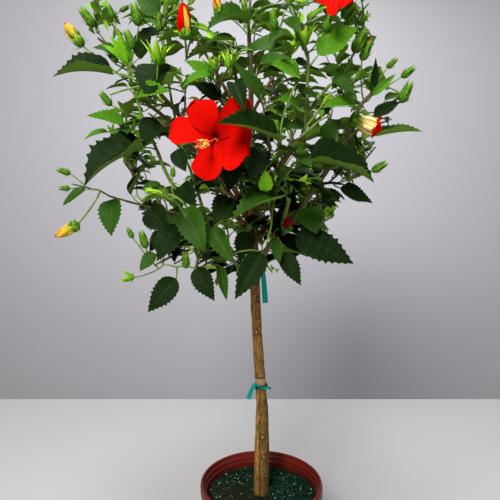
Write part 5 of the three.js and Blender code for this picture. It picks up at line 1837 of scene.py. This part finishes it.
# potting mix
m = Mat("mix_green")
o = m.obj()
x, y, z = m.xyz(o)
n = m.noise(o, 240.0, 4.0, .65)
nb = m.noise(o, 26.0, 2.0, .5)
col = m.mix(m.ramp(n, .40, .64), rgb(.0012, .006, .0034), rgb(.0048, .027, .0145))
w = m.math("ADD", m.math("MULTIPLY", x, -12.0), m.math("MULTIPLY", y, -9.0))
col = m.mix(m.math("MULTIPLY", m.ramp(m.math("ADD", w, nb), .75, 1.25), .7), col, rgb(.014, .009, .005))
m.put(Base_Color=col, Roughness=.92)
m.b.inputs["Specular IOR Level"].default_value = .1
m.bump(n, .6, .0012)
ob = mix.build([m.m])
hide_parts("potting_mix")
cm = [plain("crumb_dark", (.0016, .008, .0045), .9, .06), plain("crumb_green", (.003, .030, .0145), .85, .06), plain("crumb_fibre", (.014, .082, .042), .8, .10),
      plain("crumb_brown", (.022, .012, .006), .9, .06), plain("crumb_white", (.60, .62, .54), .8, .2)]
ob = crumbs.build(cm, uv=False, flat=True)

tape = plain("tape_teal", (.0010, .200, .168), .50, .10)
tape_dark = plain("tape_dark", (.004, .022, .022), .5, .2)
tape_worn = plain("tape_worn", (.012, .080, .054), .60, .12)
ob = ties.build([tape, tape_dark, tape_worn], uv=False, sharp=55)
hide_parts("tie_low", "tie_high")

# ------------------------------------------------------------- stage and light
def sheet_of(name, pts, colour, rough):
    me = bpy.data.meshes.new(name)
    me.from_pydata(pts, [], [(0, 1, 2, 3)])
    ob = bpy.data.objects.new(name, me)
    bpy.context.scene.collection.objects.link(ob)
    m = Mat(name + "_pale")
    m.put(Base_Color=rgb(*colour), Roughness=rough)
    me.materials.append(m.m)
    return ob


sheet_of("floor", [(-3, -3, 0), (3, -3, 0), (3, .775, 0), (-3, .775, 0)], (.45, .45, .455), .7)
sheet_of("backdrop", [(-4, 1.9, -1.6), (4, 1.9, -1.6), (4, 1.9, 3.6), (-4, 1.9, 3.6)], (.565, .560, .605), .9)

world = bpy.data.worlds.new("studio")
bpy.context.scene.world = world
world.use_nodes = True
wt = world.node_tree
bg = wt.nodes["Background"]
bg.inputs[0].default_value = (.50, .49, .51, 1)
bg.inputs[1].default_value = .155


def area(name, at, to, size, watts, colour=(1, 1, 1)):
    d = bpy.data.lights.new(name, "AREA")
    d.shape, d.size, d.energy, d.color = "SQUARE", size, watts, colour
    o = bpy.data.objects.new(name, d)
    o.visible_camera = False
    o.location = at
    v = unit(V(*to) - V(*at))
    az, el = math.atan2(v[1], v[0]), math.asin(v[2])
    o.rotation_euler = (math.pi / 2 + el, 0, az - math.pi / 2)
    bpy.context.scene.collection.objects.link(o)
    return o


area("key", (-.60, -1.90, 1.80), (0, 0, .72), .75, 74, (1, .975, .93))
area("top", (-.15, -.35, 2.45), (0, 0, .76), .60, 28)
area("fill", (1.9, -1.2, 1.1), (0, 0, .65), 1.2, 9)
area("behind", (.30, 1.15, 2.35), (0, 0, .70), .9, 22)
area("wall", (0, .98, .80), (0, 1.9, .70), 1.5, 2.2)

# ------------------------------------------------------------------- measures
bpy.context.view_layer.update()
for kd in list(leaves.values()) + list(shoots.values()) + [stalks, buds, petals, stamens, wood, pot, mix, crumbs, ties]:
    print("piece", kd.name, sum(len(q) for q in kd.q) * 2 + sum(len(t) for t in kd.t))
